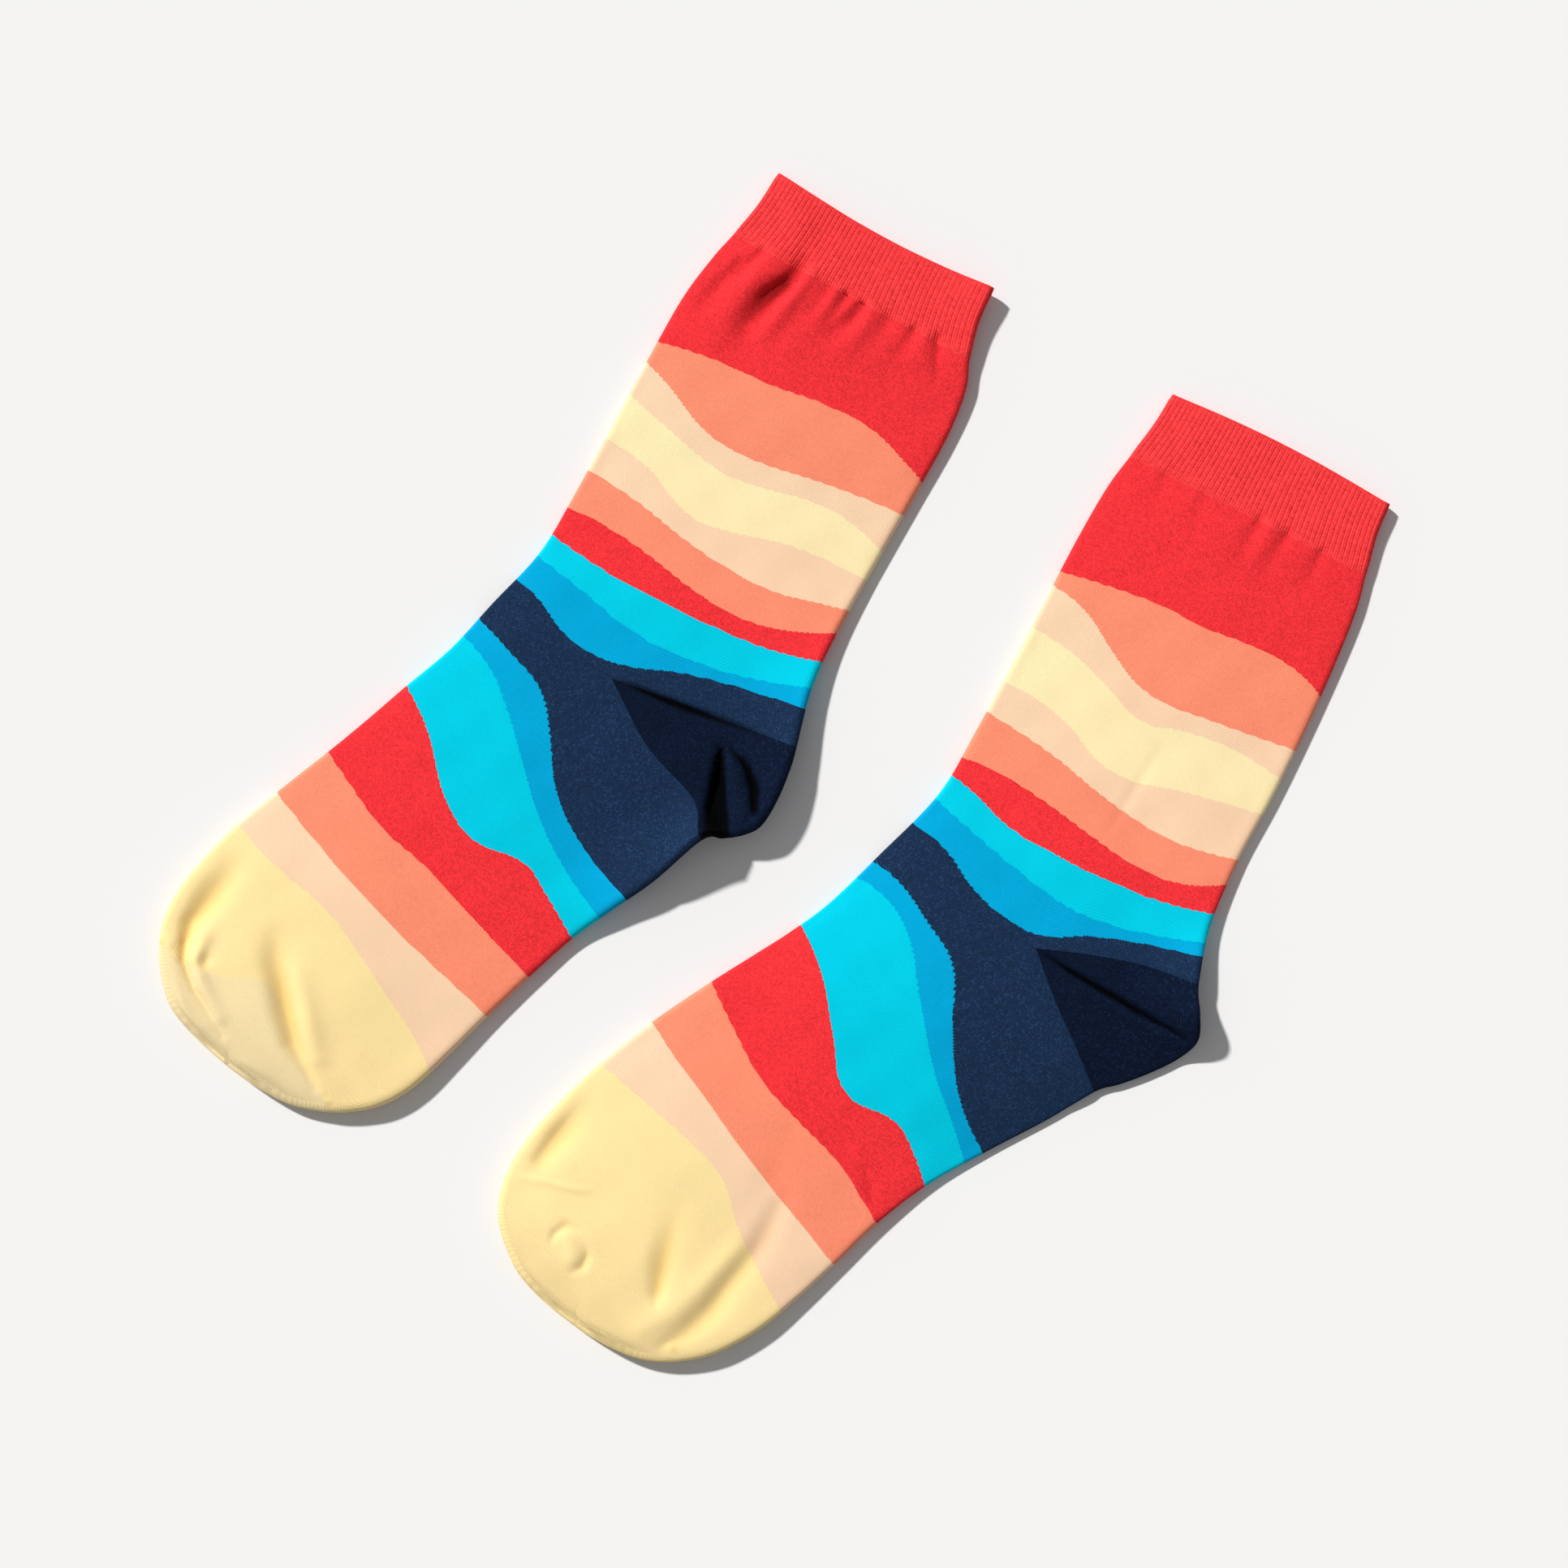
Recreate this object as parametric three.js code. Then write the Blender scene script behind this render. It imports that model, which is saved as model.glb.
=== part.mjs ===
// A pair of crew socks laid flat beside each other. Millimetres, +Z up, and z = 0 is the surface that
// they lie on. Each sock is one knitted tube pressed flat, so that it has a top panel, an underside and
// two round fold edges, with a ribbed cuff, a heel pocket and a closed toe.
//
// A sock is laid out in a plan frame of its own: the origin is the apex of its heel pocket, +Y runs up
// the leg to the cuff, +X points to the back of the leg and the toes lie towards -X and -Y.
import * as THREE from 'three';

// Cloth
const JERSEY_WALL = 1.5;
const CUFF_WALL = 1.6;
const SEAM_GAP = 0.3; // between neighbouring pieces
const PANEL_AIR = 0.6; // least space between the two panels' inner faces
const LIFT_REACH = 28; // how far in from a fold edge the underside is raised, where it is raised at all
const CROWN_POWER = 2.2; // how flat the top panel is before it falls to its fold edges

// Ribs of the cuff
const RIB_PITCH = 1.75;
const RIB_HEIGHT = 0.35;
const RIB_FADE = 1.5; // how soon the ribs end on the lower half of a fold edge

// Steps of the mesh
const FRONT_STEPS = 8; // top panel, front edge to centre
const BACK_STEPS = 12; // top panel, centre to back edge
const UNDER_FRONT_STEPS = 2;
const UNDER_BACK_STEPS = 6;
const HEEL_ROWS = 10;
const ARC_STEPS = 4; // half circle of a fold edge
const VERTEX_GRID = 1e-4; // points that round to the same step of it are one vertex

// One row of named values for each line of a table.
function table(columns, lines) {
  const names = columns.split(' ');
  return lines.map((line) => Object.fromEntries(names.map((name, i) => [name, line[i]])));
}

// A section is one course of the knit across the flat tube, from the front fold edge to the back one.
// centre is the share of its width at which the heel apex's line crosses it, bow is how far its middle
// lies up the leg from the straight line, round is the radius of its fold edges, loft is how much
// thicker the middle is than the edges, liftFront and liftBack are the heights of its edges above the
// surface, and steps is the number of mesh rows to the next section.
const SECTION = 'name frontX frontY backX backY centre bow round loft liftFront liftBack steps';

// The heel pocket's fold edge between the two seams that part it from leg and foot. footSeamLift is how
// much higher than the leg's seam the foot's seam ends.
const POCKET = 'backX backY loft liftBack';

// A soft ridge (height above 0) or trough (below 0) of the top panel, from one plan point to another.
const FOLD = 'fromX fromY toX toY width height';

const LEFT_SOCK = {
  place: { x: -67.6, y: 4.7, turn: -1.2 },
  sections: table(SECTION, [
    ['cuff_top', -31.3, 173.8, 50.0, 173.8, 0.41, -2.2, 2.2, 1.2, 0.0, 3.4, 1],
    ['cuff_mid', -32.2, 161.0, 51.0, 161.5, 0.41, -0.6, 2.2, 1.4, 0.0, 2.4, 1],
    ['cuff_end', -34.8, 148.3, 54.2, 149.6, 0.41, 0.0, 2.2, 2.0, 0.0, 1.6, 2],
    ['flare', -37.0, 139.0, 58.0, 140.0, 0.41, 0.0, 2.2, 2.8, 0.0, 0.9, 3],
    ['leg_top', -39.4, 122.0, 60.0, 123.0, 0.41, 0.0, 2.2, 1.6, 0.0, 0.2, 2],
    ['leg_high', -39.7, 98.0, 59.8, 99.0, 0.41, 0.0, 2.2, 0.9, 0.0, 0.0, 1],
    ['leg_mid', -39.6, 72.0, 59.4, 72.0, 0.41, 0.0, 2.2, 0.8, 0.0, 0.0, 1],
    ['leg_low', -39.5, 46.0, 59.2, 47.0, 0.41, 0.0, 2.2, 1.0, 0.0, 0.2, 3],
    ['ankle', -40.4, 25.0, 60.8, 28.0, 0.41, 0.0, 2.3, 1.8, 0.0, 1.2, 4],
    ['gore', -46.0, 3.0, 65.5, 9.5, 0.42, 0.0, 2.4, 2.8, 0.0, 3.2, 4],
    ['foot_a', -51.0, -17.0, 45.5, -52.0, 0.47, 0.0, 2.4, 2.4, 0.0, 4.6, 2],
    ['foot_b', -58.0, -35.0, 38.0, -67.0, 0.47, 0.0, 2.4, 2.0, 0.0, 2.0, 1],
    ['foot_c', -64.0, -51.0, 31.0, -81.5, 0.47, 0.0, 2.4, 1.8, 0.0, 0.5, 1],
    ['foot_d', -70.0, -66.0, 24.5, -99.5, 0.47, 0.0, 2.4, 1.8, 0.0, 0.5, 1],
    ['foot_e', -78.5, -86.0, 18.5, -118.0, 0.47, 0.0, 2.5, 2.2, 0.0, 0.7, 2],
    ['foot_f', -86.0, -105.0, 13.5, -135.0, 0.47, 0.0, 2.7, 2.8, 0.2, 1.0, 3],
    ['toe_start', -91.0, -125.0, 8.5, -150.0, 0.47, 0.0, 2.9, 3.2, 0.5, 1.4, 3],
    ['toe_a', -91.7, -138.0, 2.5, -160.0, 0.47, 0.0, 3.0, 3.4, 0.9, 1.7, 2],
    ['toe_b', -89.3, -147.5, -5.5, -167.0, 0.47, 0.0, 3.0, 3.2, 1.2, 1.9, 2],
    ['toe_c', -83.0, -158.0, -15.5, -172.3, 0.47, 0.0, 3.0, 2.8, 1.4, 2.0, 2],
    ['toe_d', -72.0, -167.3, -29.0, -175.4, 0.47, 0.0, 3.0, 2.2, 1.6, 1.9, 2],
    ['tip', -50.0, -173.6, -50.0, -173.6, 0.5, 0.0, 3.0, 0.0, 1.7, 1.7, 0],
  ]),
  pocket: table(POCKET, [
    [67.2, 2.0, 3.4, 3.8],
    [68.4, -9.0, 3.8, 4.8],
    [67.8, -19.0, 3.8, 6.0],
    [64.0, -24.6, 3.4, 7.0],
    [58.6, -28.8, 3.0, 8.0],
  ]),
  apex: [1.0, 0.0],
  legSeam: [[22.0, 3.0], [44.0, 6.3]],
  footSeam: [[22.0, -14.0], [43.5, -22.0]],
  footSeamEnd: [53.0, -32.3],
  footSeamLift: 5.6,
  folds: table(FOLD, [
    [-10.8, 148.0, -15.8, 122.0, 8, -3.0],
    [-18.5, 149.0, -21.0, 124.0, 9, 1.0],
    [-4.5, 149.0, -8.0, 126.0, 8, 0.9],
    [-26.0, 148.0, -27.5, 134.0, 6, -0.8],
    [-1.5, 148.0, -1.5, 136.0, 5, -0.8],
    [7.5, 148.0, 7.0, 139.0, 5, -1.1],
    [14.0, 148.0, 13.0, 136.0, 6, -1.5],
    [28.0, 148.0, 27.0, 138.0, 6, -0.8],
    [43.0, 148.0, 46.0, 138.0, 6, -0.9],
    [43.0, -1.5, 56.5, -30.5, 9, -4.6],
    [49.5, -1.0, 57.5, -22.0, 8, 1.8],
    [52.0, -1.0, 62.5, -18.0, 6, -2.4],
    [-80.0, -119.0, -83.3, -140.0, 10, -2.4],
    [-54.0, -133.0, -31.0, -157.0, 11, -2.8],
    [-72.5, -140.0, -71.0, -148.0, 8, -1.2],
    [-68.0, -134.0, -55.0, -150.0, 12, 1.2],
    [-88.0, -146.5, -84.0, -148.0, 6, 1.6],
    [-84.0, -148.0, -66.0, -159.0, 5, 1.2],
    [-66.0, -159.0, -14.0, -168.0, 5, 0.9],
  ]),
};

const RIGHT_SOCK = {
  place: { x: 98.0, y: -10.5, turn: 0.9 },
  sections: table(SECTION, [
    ['cuff_top', -40.3, 185.6, 40.3, 184.8, 0.48, 1.6, 2.2, 1.0, 0.0, 1.0, 1],
    ['cuff_mid', -41.3, 174.0, 41.0, 174.0, 0.48, 0.6, 2.2, 1.1, 0.0, 0.8, 1],
    ['cuff_end', -43.8, 160.6, 43.8, 160.4, 0.48, 0.0, 2.2, 1.4, 0.0, 0.5, 2],
    ['flare', -46.0, 148.0, 46.3, 148.0, 0.48, 0.0, 2.2, 1.5, 0.0, 0.3, 2],
    ['leg_top', -47.2, 128.0, 48.0, 128.0, 0.48, 0.0, 2.2, 1.0, 0.0, 0.1, 2],
    ['leg_high', -47.6, 104.0, 49.0, 104.0, 0.48, 0.0, 2.2, 0.8, 0.0, 0.0, 1],
    ['leg_mid', -48.0, 80.0, 49.2, 80.0, 0.48, 0.0, 2.2, 0.8, 0.0, 0.0, 1],
    ['leg_low', -48.7, 56.0, 48.4, 56.0, 0.48, 0.0, 2.2, 1.0, 0.0, 0.2, 2],
    ['ankle', -50.4, 32.0, 49.6, 33.0, 0.48, 0.0, 2.3, 1.8, 0.0, 1.6, 4],
    ['gore', -59.0, 5.0, 54.2, 14.3, 0.5, 0.0, 2.4, 3.0, 0.0, 5.0, 4],
    ['foot_a', -66.7, -16.7, 30.0, -49.0, 0.47, 0.0, 2.4, 2.4, 0.0, 0.7, 2],
    ['foot_b', -74.0, -31.0, 17.0, -67.0, 0.47, 0.0, 2.4, 2.0, 0.0, 0.6, 1],
    ['foot_c', -81.5, -43.5, 5.0, -84.5, 0.47, 0.0, 2.4, 1.8, 0.0, 0.4, 1],
    ['foot_d', -90.0, -57.5, -4.5, -103.5, 0.47, 0.0, 2.4, 1.8, 0.0, 0.4, 1],
    ['foot_e', -102.0, -79.0, -11.5, -123.0, 0.47, 0.0, 2.5, 2.2, 0.0, 0.6, 2],
    ['foot_f', -112.0, -101.0, -17.5, -138.5, 0.47, 0.0, 2.7, 2.8, 0.2, 0.9, 3],
    ['toe_start', -119.6, -124.0, -24.0, -153.0, 0.47, 0.0, 2.9, 3.2, 0.5, 1.3, 3],
    ['toe_a', -122.4, -142.0, -33.0, -166.0, 0.47, 0.0, 3.0, 3.4, 0.9, 1.6, 2],
    ['toe_b', -119.0, -157.5, -42.5, -174.0, 0.47, 0.0, 3.0, 3.2, 1.2, 1.8, 2],
    ['toe_c', -108.0, -169.5, -53.0, -179.0, 0.47, 0.0, 3.0, 2.6, 1.4, 1.9, 2],
    ['toe_d', -96.5, -175.5, -64.5, -180.6, 0.47, 0.0, 3.0, 2.0, 1.6, 1.8, 2],
    ['tip', -80.0, -179.4, -80.0, -179.4, 0.5, 0.0, 3.0, 0.0, 1.7, 1.7, 0],
  ]),
  pocket: table(POCKET, [
    [58.3, 5.6, 4.0, 7.0],
    [62.4, -2.6, 4.4, 9.0],
    [60.2, -10.8, 4.2, 6.6],
    [53.5, -19.8, 3.6, 3.4],
    [46.4, -27.4, 3.2, 1.8],
  ]),
  apex: [0.8, 0.8],
  legSeam: [[18.2, 7.0], [35.8, 11.8]],
  footSeam: [[14.2, -11.8], [27.4, -22.6]],
  footSeamEnd: [40.2, -33.2],
  footSeamLift: -4.0,
  folds: table(FOLD, [
    [3.0, 160.0, 3.0, 146.0, 6, -0.7],
    [13.0, 160.0, 12.0, 142.0, 7, -0.8],
    [-16.0, 160.0, -16.0, 148.0, 6, -0.5],
    [27.0, 160.0, 27.0, 148.0, 6, -0.5],
    [10.0, -0.8, 38.0, -2.6, 9, 1.2],
    [38.0, -2.6, 58.0, -3.4, 9, 1.8],
    [16.0, -6.0, 52.0, -8.5, 10, -1.2],
    [-113.0, -120.0, -113.0, -134.0, 11, -2.2],
    [-70.0, -133.0, -61.0, -157.0, 13, -1.8],
    [-36.7, -114.0, -34.0, -128.0, 9, -1.2],
    [-34.0, -128.0, -45.0, -163.0, 9, -1.6],
    [-96.0, -152.0, -93.5, -160.0, 6, -1.6],
    [-86.0, -155.0, -87.0, -163.0, 6, -1.4],
    [-91.0, -154.0, -90.0, -161.0, 6, 1.2],
    [-119.0, -144.5, -94.0, -136.5, 5, 0.8],
    [-20.0, -92.0, -8.0, -103.0, 9, -0.9],
  ]),
};

const COLOURS = { cuff: 0xf14142, leg_foot: 0xfd9472, heel: 0x0f1a2c, toe: 0xf5e6bb };
const COTTON = { roughness: 0.9, metalness: 0 };

const mix = (a, b, t) => a + (b - a) * t;
const mixPoint = (a, b, t) => a.map((value, i) => mix(value, b[i], t));
const shift = (point, way, length) => point.map((value, i) => value + way[i] * length);
const span = (a, b) => Math.hypot(b[0] - a[0], b[1] - a[1]);
const unit = ([x, y]) => [x / Math.hypot(x, y), y / Math.hypot(x, y)];
const cross = ([ax, ay], [bx, by]) => ax * by - ay * bx;
const turnLeft = ([x, y]) => [-y, x];
const turnRight = ([x, y]) => [y, -x];

// The value of the smooth curve through a list, at a place counted in list steps.
function onCurve(list, place) {
  const i = Math.min(Math.max(Math.floor(place), 0), list.length - 2);
  const t = place - i;
  const [b, c] = [list[i], list[i + 1]];
  const a = list[i - 1] ?? 2 * b - c;
  const d = list[i + 2] ?? 2 * c - b;
  const bend = (2 * a - 5 * b + 4 * c - d) * t + (3 * b - a - 3 * c + d) * t * t;
  return b + 0.5 * t * (c - a + bend);
}

function pointOnCurve(points, place) {
  return [0, 1].map((axis) => onCurve(points.map((point) => point[axis]), place));
}

// How far the curve goes in one list step at a place, along x and y.
function paceOnCurve(points, place) {
  const reach = 0.02;
  const from = Math.max(place - reach, 0);
  const to = Math.min(place + reach, points.length - 1);
  const [before, after] = [pointOnCurve(points, from), pointOnCurve(points, to)];
  return [(after[0] - before[0]) / (to - from), (after[1] - before[1]) / (to - from)];
}

const wayOnCurve = (points, place) => unit(paceOnCurve(points, place));
const speedOnCurve = (points, place) => Math.hypot(...paceOnCurve(points, place));

// The front and back fold edges as lists of points from the cuff to the toe and on round the tip.
function edgesOf(sock) {
  const front = sock.sections.map((s) => [s.frontX, s.frontY]);
  const back = sock.sections.map((s) => [s.backX, s.backY]);
  const gore = sock.sections.findIndex((s) => s.name === 'gore');
  const heel = sock.pocket.map((p) => [p.backX, p.backY]);
  back.splice(gore + 1, 0, ...heel, sock.footSeamEnd);
  const aroundTip = 2;
  const pastTip = (own, other) => [...own, ...other.slice(-1 - aroundTip, -1).reverse()];
  return { front: pastTip(front, back), back: pastTip(back, front), gore, skipped: heel.length + 1 };
}

// One course across the tube at a place counted in sections. Below the gore the back edge has run round
// the heel pocket, so its place is further on by the pocket's own points. Courses near the gore bend as
// its seams do, less and less the further they are from it, and so does the back edge's lift.
function courseAt(sock, place, belowGore) {
  const { front, back, gore, skipped } = edgesOf(sock);
  const value = (name, at = place) => onCurve(sock.sections.map((s) => s[name]), at);
  const edgeAt = (edge, edgePlace, inward, round) => {
    const way = inward(wayOnCurve(edge, edgePlace));
    return { way, core: shift(pointOnCurve(edge, edgePlace), way, round) };
  };
  const pastPocket = belowGore ? skipped : 0;
  const round = value('round');
  const frontEdge = edgeAt(front, place, turnLeft, round);
  const backEdge = edgeAt(back, place + pastPocket, turnRight, round);
  const seamEnd = edgeAt(back, gore + pastPocket, turnRight, value('round', gore)).core;
  const nearGore = Math.max(0, 1 - Math.abs(place - gore));
  const between = mixPoint(frontEdge.core, backEdge.core, value('centre'));
  const centre = mixPoint(between, sock.apex, nearGore);
  const seam = belowGore ? sock.footSeam : sock.legSeam;
  const via = seam.map((point, i) => {
    const third = (i + 1) / 3;
    const bend = shift(point, mixPoint(sock.apex, seamEnd, third), -1);
    return shift(mixPoint(centre, backEdge.core, third), bend, nearGore);
  });
  const liftFront = Math.max(0, value('liftFront'));
  const liftBack = Math.max(0, value('liftBack'));
  return {
    frontIn: frontEdge.way,
    backIn: backEdge.way,
    frontCore: frontEdge.core,
    backCore: backEdge.core,
    centre,
    via,
    bow: value('bow'),
    round,
    loft: value('loft'),
    centreLoft: value('loft'),
    liftFront,
    middleLift: 0.5 * (liftFront + liftBack),
    liftBack: belowGore ? liftBack + sock.footSeamLift * nearGore : liftBack,
  };
}

// How far a course moves on in one list step at a place, square to itself and at its slower end.
function courseSpeed(sock, place, belowGore) {
  const step = 0.01;
  const [near, here, far] = [-step, 0, step].map((way) => courseAt(sock, place + way, belowGore));
  const across = unit(shift(here.backCore, here.frontCore, -1));
  const moved = (core) => Math.abs(cross(shift(far[core], near[core], -1), across)) / (2 * step);
  return Math.min(moved('frontCore'), moved('backCore'));
}

// Plan point of a course's back half, from its centre (0) to the core of its back fold edge (1).
function backHalf(course, t) {
  return pointOnCurve([course.centre, ...course.via, course.backCore], 3 * t);
}

// Plan point of a course's front half, from its centre (0) to the core of its front fold edge (1).
function frontHalf(course, t) {
  return mixPoint(course.centre, course.frontCore, t);
}

// Height of the ridges and troughs at a plan point.
function foldHeight(sock, [x, y]) {
  let height = 0;
  for (const fold of sock.folds) {
    const along = [fold.toX - fold.fromX, fold.toY - fold.fromY];
    const length = Math.hypot(...along);
    const reach = [x - fold.fromX, y - fold.fromY];
    const t = Math.min(Math.max((reach[0] * along[0] + reach[1] * along[1]) / length ** 2, 0), 1);
    const away = Math.hypot(reach[0] - along[0] * t, reach[1] - along[1] * t);
    height += fold.height * Math.exp(-((away / (0.5 * fold.width)) ** 2));
  }
  return height;
}

// One point of the tube: where its outer and inner faces lie, for a place on the ring of a course. part
// names the stretch of the ring, t runs along it and raise lifts the outer face alone.
function tubePoint(sock, course, wall, part, t, raise = 0) {
  const isFront = part.endsWith('Front');
  const lift = isFront ? course.liftFront : course.liftBack;
  if (part.startsWith('arc')) {
    const core = isFront ? course.frontCore : course.backCore;
    const outward = (isFront ? course.frontIn : course.backIn).map((value) => -value);
    const angle = Math.PI * (isFront ? t - 0.5 : 0.5 - t);
    const at = (radius) => [
      ...shift(core, outward, radius * Math.cos(angle)),
      lift + course.round + radius * Math.sin(angle),
    ];
    const aboveFloor = Math.min(1, Math.max(0, 1 + RIB_FADE * Math.sin(angle)));
    return { outer: at(course.round + raise * aboveFloor), inner: at(course.round - wall) };
  }
  const share = part === 'topFront' || part === 'underBack' ? 1 - t : t; // 0 at the centre
  const plan = isFront ? frontHalf(course, share) : backHalf(course, share);
  const frontWidth = span(course.frontCore, course.centre);
  const backWidth = span(course.centre, course.backCore);
  const width = frontWidth + backWidth || 1; // it is 0 at the tip
  const across = (isFront ? frontWidth * (1 - share) : frontWidth + backWidth * share) / width;
  const up = turnLeft([course.backCore[0] - course.frontCore[0], course.backCore[1] - course.frontCore[1]]);
  const bowed = shift(plan, up, (course.bow / width) * Math.sin(Math.PI * across));
  const inFromEdge = (1 - share) * (isFront ? frontWidth : backWidth);
  const raised = Math.max(0, 1 - inFromEdge / LIFT_REACH) ** 2;
  const under = mix(course.middleLift, lift, share) * raised;
  if (part.startsWith('under')) {
    return { outer: [...bowed, under], inner: [...bowed, under + wall] };
  }
  const crown = mix(course.centreLoft, course.loft, share) * (1 - share ** CROWN_POWER);
  const fold = foldHeight(sock, bowed) * Math.min(1, inFromEdge / (2 * course.round));
  const least = under + 2 * wall + PANEL_AIR;
  const top = Math.max(under + 2 * course.round + crown + fold, least);
  return { outer: [...bowed, top + raise], inner: [...bowed, top - wall] };
}

// Places along one stretch of a ring, the last one left out because the next stretch starts there.
function places(part, steps) {
  return Array.from({ length: steps }, (_, i) => ({ part, t: i / steps, raise: 0 }));
}

const TUBE_RING = [
  ...places('topBack', BACK_STEPS),
  ...places('arcBack', ARC_STEPS),
  ...places('underBack', UNDER_BACK_STEPS),
  ...places('underFront', UNDER_FRONT_STEPS),
  ...places('arcFront', ARC_STEPS),
  ...places('topFront', FRONT_STEPS),
];

const POCKET_RING = [
  ...places('topBack', BACK_STEPS),
  ...places('arcBack', ARC_STEPS),
  ...places('underBack', UNDER_BACK_STEPS),
  { part: 'underBack', t: 1, raise: 0 },
];

// The cuff's outer ring has a valley and a peak for each rib, but for the underside, which rests flat.
function ribbedRing(course) {
  const ribs = (part, length) =>
    places(part, 2 * Math.round(length / RIB_PITCH)).map((place, i) => ({
      ...place,
      raise: i % 2 ? RIB_HEIGHT : 0,
    }));
  const edge = Math.PI * course.round;
  return [
    ...ribs('topBack', span(course.centre, course.backCore)),
    ...ribs('arcBack', edge),
    ...places('underBack', UNDER_BACK_STEPS),
    ...places('underFront', UNDER_FRONT_STEPS),
    ...ribs('arcFront', edge),
    ...ribs('topFront', span(course.frontCore, course.centre)),
  ];
}

// Triangles over shared vertices, which become one closed body.
class Body {
  positions = [];
  triangles = [];
  known = new Map();

  vertex(point) {
    const key = point.map((value) => Math.round(value / VERTEX_GRID)).join();
    if (!this.known.has(key)) {
      this.known.set(key, this.positions.length);
      this.positions.push(point);
    }
    return this.known.get(key);
  }

  triangle(a, b, c) {
    if (a !== b && b !== c && c !== a) this.triangles.push([a, b, c]);
  }

  quad(a, b, c, d) {
    this.triangle(a, b, c);
    this.triangle(a, c, d);
  }

  // Turns every face over if the body is inside out, and gives its mesh.
  mesh(name, colour) {
    let volume = 0;
    for (const [a, b, c] of this.triangles) {
      const [p, q, r] = [a, b, c].map((i) => new THREE.Vector3(...this.positions[i]));
      volume += p.dot(q.cross(r));
    }
    const faces = volume < 0 ? this.triangles.map(([a, b, c]) => [c, b, a]) : this.triangles;
    const geometry = new THREE.BufferGeometry();
    geometry.setAttribute('position', new THREE.Float32BufferAttribute(this.positions.flat(), 3));
    geometry.setIndex(faces.flat());
    geometry.computeVertexNormals();
    const mesh = new THREE.Mesh(geometry, new THREE.MeshStandardMaterial({ color: colour, ...COTTON }));
    mesh.name = name;
    return mesh;
  }
}

// A body with wall thickness from grids of tube points: their outer faces, their inner faces and a rim
// along every open edge. Grids that share points are joined there.
function walled(grids) {
  const body = new Body();
  const inside = new Map(); // outer vertex to inner vertex
  const corner = (point) => {
    const outer = body.vertex(point.outer);
    if (!inside.has(outer)) inside.set(outer, body.vertex(point.inner));
    return outer;
  };
  for (const { rows, isRing } of grids) {
    const corners = rows.map((row) => row.map(corner));
    for (let i = 0; i + 1 < corners.length; i++) {
      const [near, far] = [corners[i], corners[i + 1]];
      const count = near.length;
      for (let j = 0; j < (isRing ? count : count - 1); j++) {
        const next = (j + 1) % count;
        body.quad(near[j], far[j], far[next], near[next]);
      }
    }
  }
  const outerFaces = [...body.triangles];
  const edges = new Set();
  for (const [a, b, c] of outerFaces) {
    for (const edge of [[a, b], [b, c], [c, a]]) edges.add(edge.join());
    body.triangle(inside.get(c), inside.get(b), inside.get(a));
  }
  for (const edge of edges) {
    const [a, b] = edge.split(',').map(Number);
    if (!edges.has([b, a].join())) body.quad(b, a, inside.get(a), inside.get(b));
  }
  return body;
}

// Rim between an outer and an inner ring that have different numbers of points.
function zip(body, outer, inner, isStart) {
  const closed = (ring) => [...ring, { index: ring[0].index, turn: 1 }];
  const [far, near] = [closed(outer), closed(inner)];
  let [i, j] = [0, 0];
  while (i + 1 < far.length || j + 1 < near.length) {
    const onOuter = j + 1 === near.length || (i + 1 < far.length && far[i + 1].turn <= near[j + 1].turn);
    const [a, b] = [far[i].index, near[j].index];
    const c = onOuter ? far[++i].index : near[++j].index;
    if (isStart) body.triangle(a, c, b);
    else body.triangle(a, b, c);
  }
}

// Places on the ring as one number from 0 to 1, so that two rings can be matched.
const RING_PARTS = ['topBack', 'arcBack', 'underBack', 'underFront', 'arcFront', 'topFront'];
const turnOf = ({ part, t }) => (RING_PARTS.indexOf(part) + t) / RING_PARTS.length;

// The ribbed cuff: ribs on the outer face, a plain inner face.
function cuffBody(sock, courses) {
  const body = new Body();
  const ribbed = ribbedRing(courses[1]);
  const ring = (course, places, face) =>
    places.map(({ part, t, raise }) => {
      const point = tubePoint(sock, course, CUFF_WALL, part, t, raise)[face];
      return { index: body.vertex(point), turn: turnOf({ part, t }) };
    });
  const outer = courses.map((course) => ring(course, ribbed, 'outer'));
  const inner = courses.map((course) => ring(course, TUBE_RING, 'inner'));
  const skin = (rings, isInner) => {
    for (let i = 0; i + 1 < rings.length; i++) {
      for (let j = 0; j < rings[i].length; j++) {
        const next = (j + 1) % rings[i].length;
        const corners = [rings[i][j], rings[i + 1][j], rings[i + 1][next], rings[i][next]];
        const order = corners.map((corner) => corner.index);
        body.quad(...(isInner ? order.reverse() : order));
      }
    }
  };
  skin(outer, false);
  skin(inner, true);
  zip(body, outer[0], inner[0], true);
  zip(body, outer.at(-1), inner.at(-1), false);
  return body;
}

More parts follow.
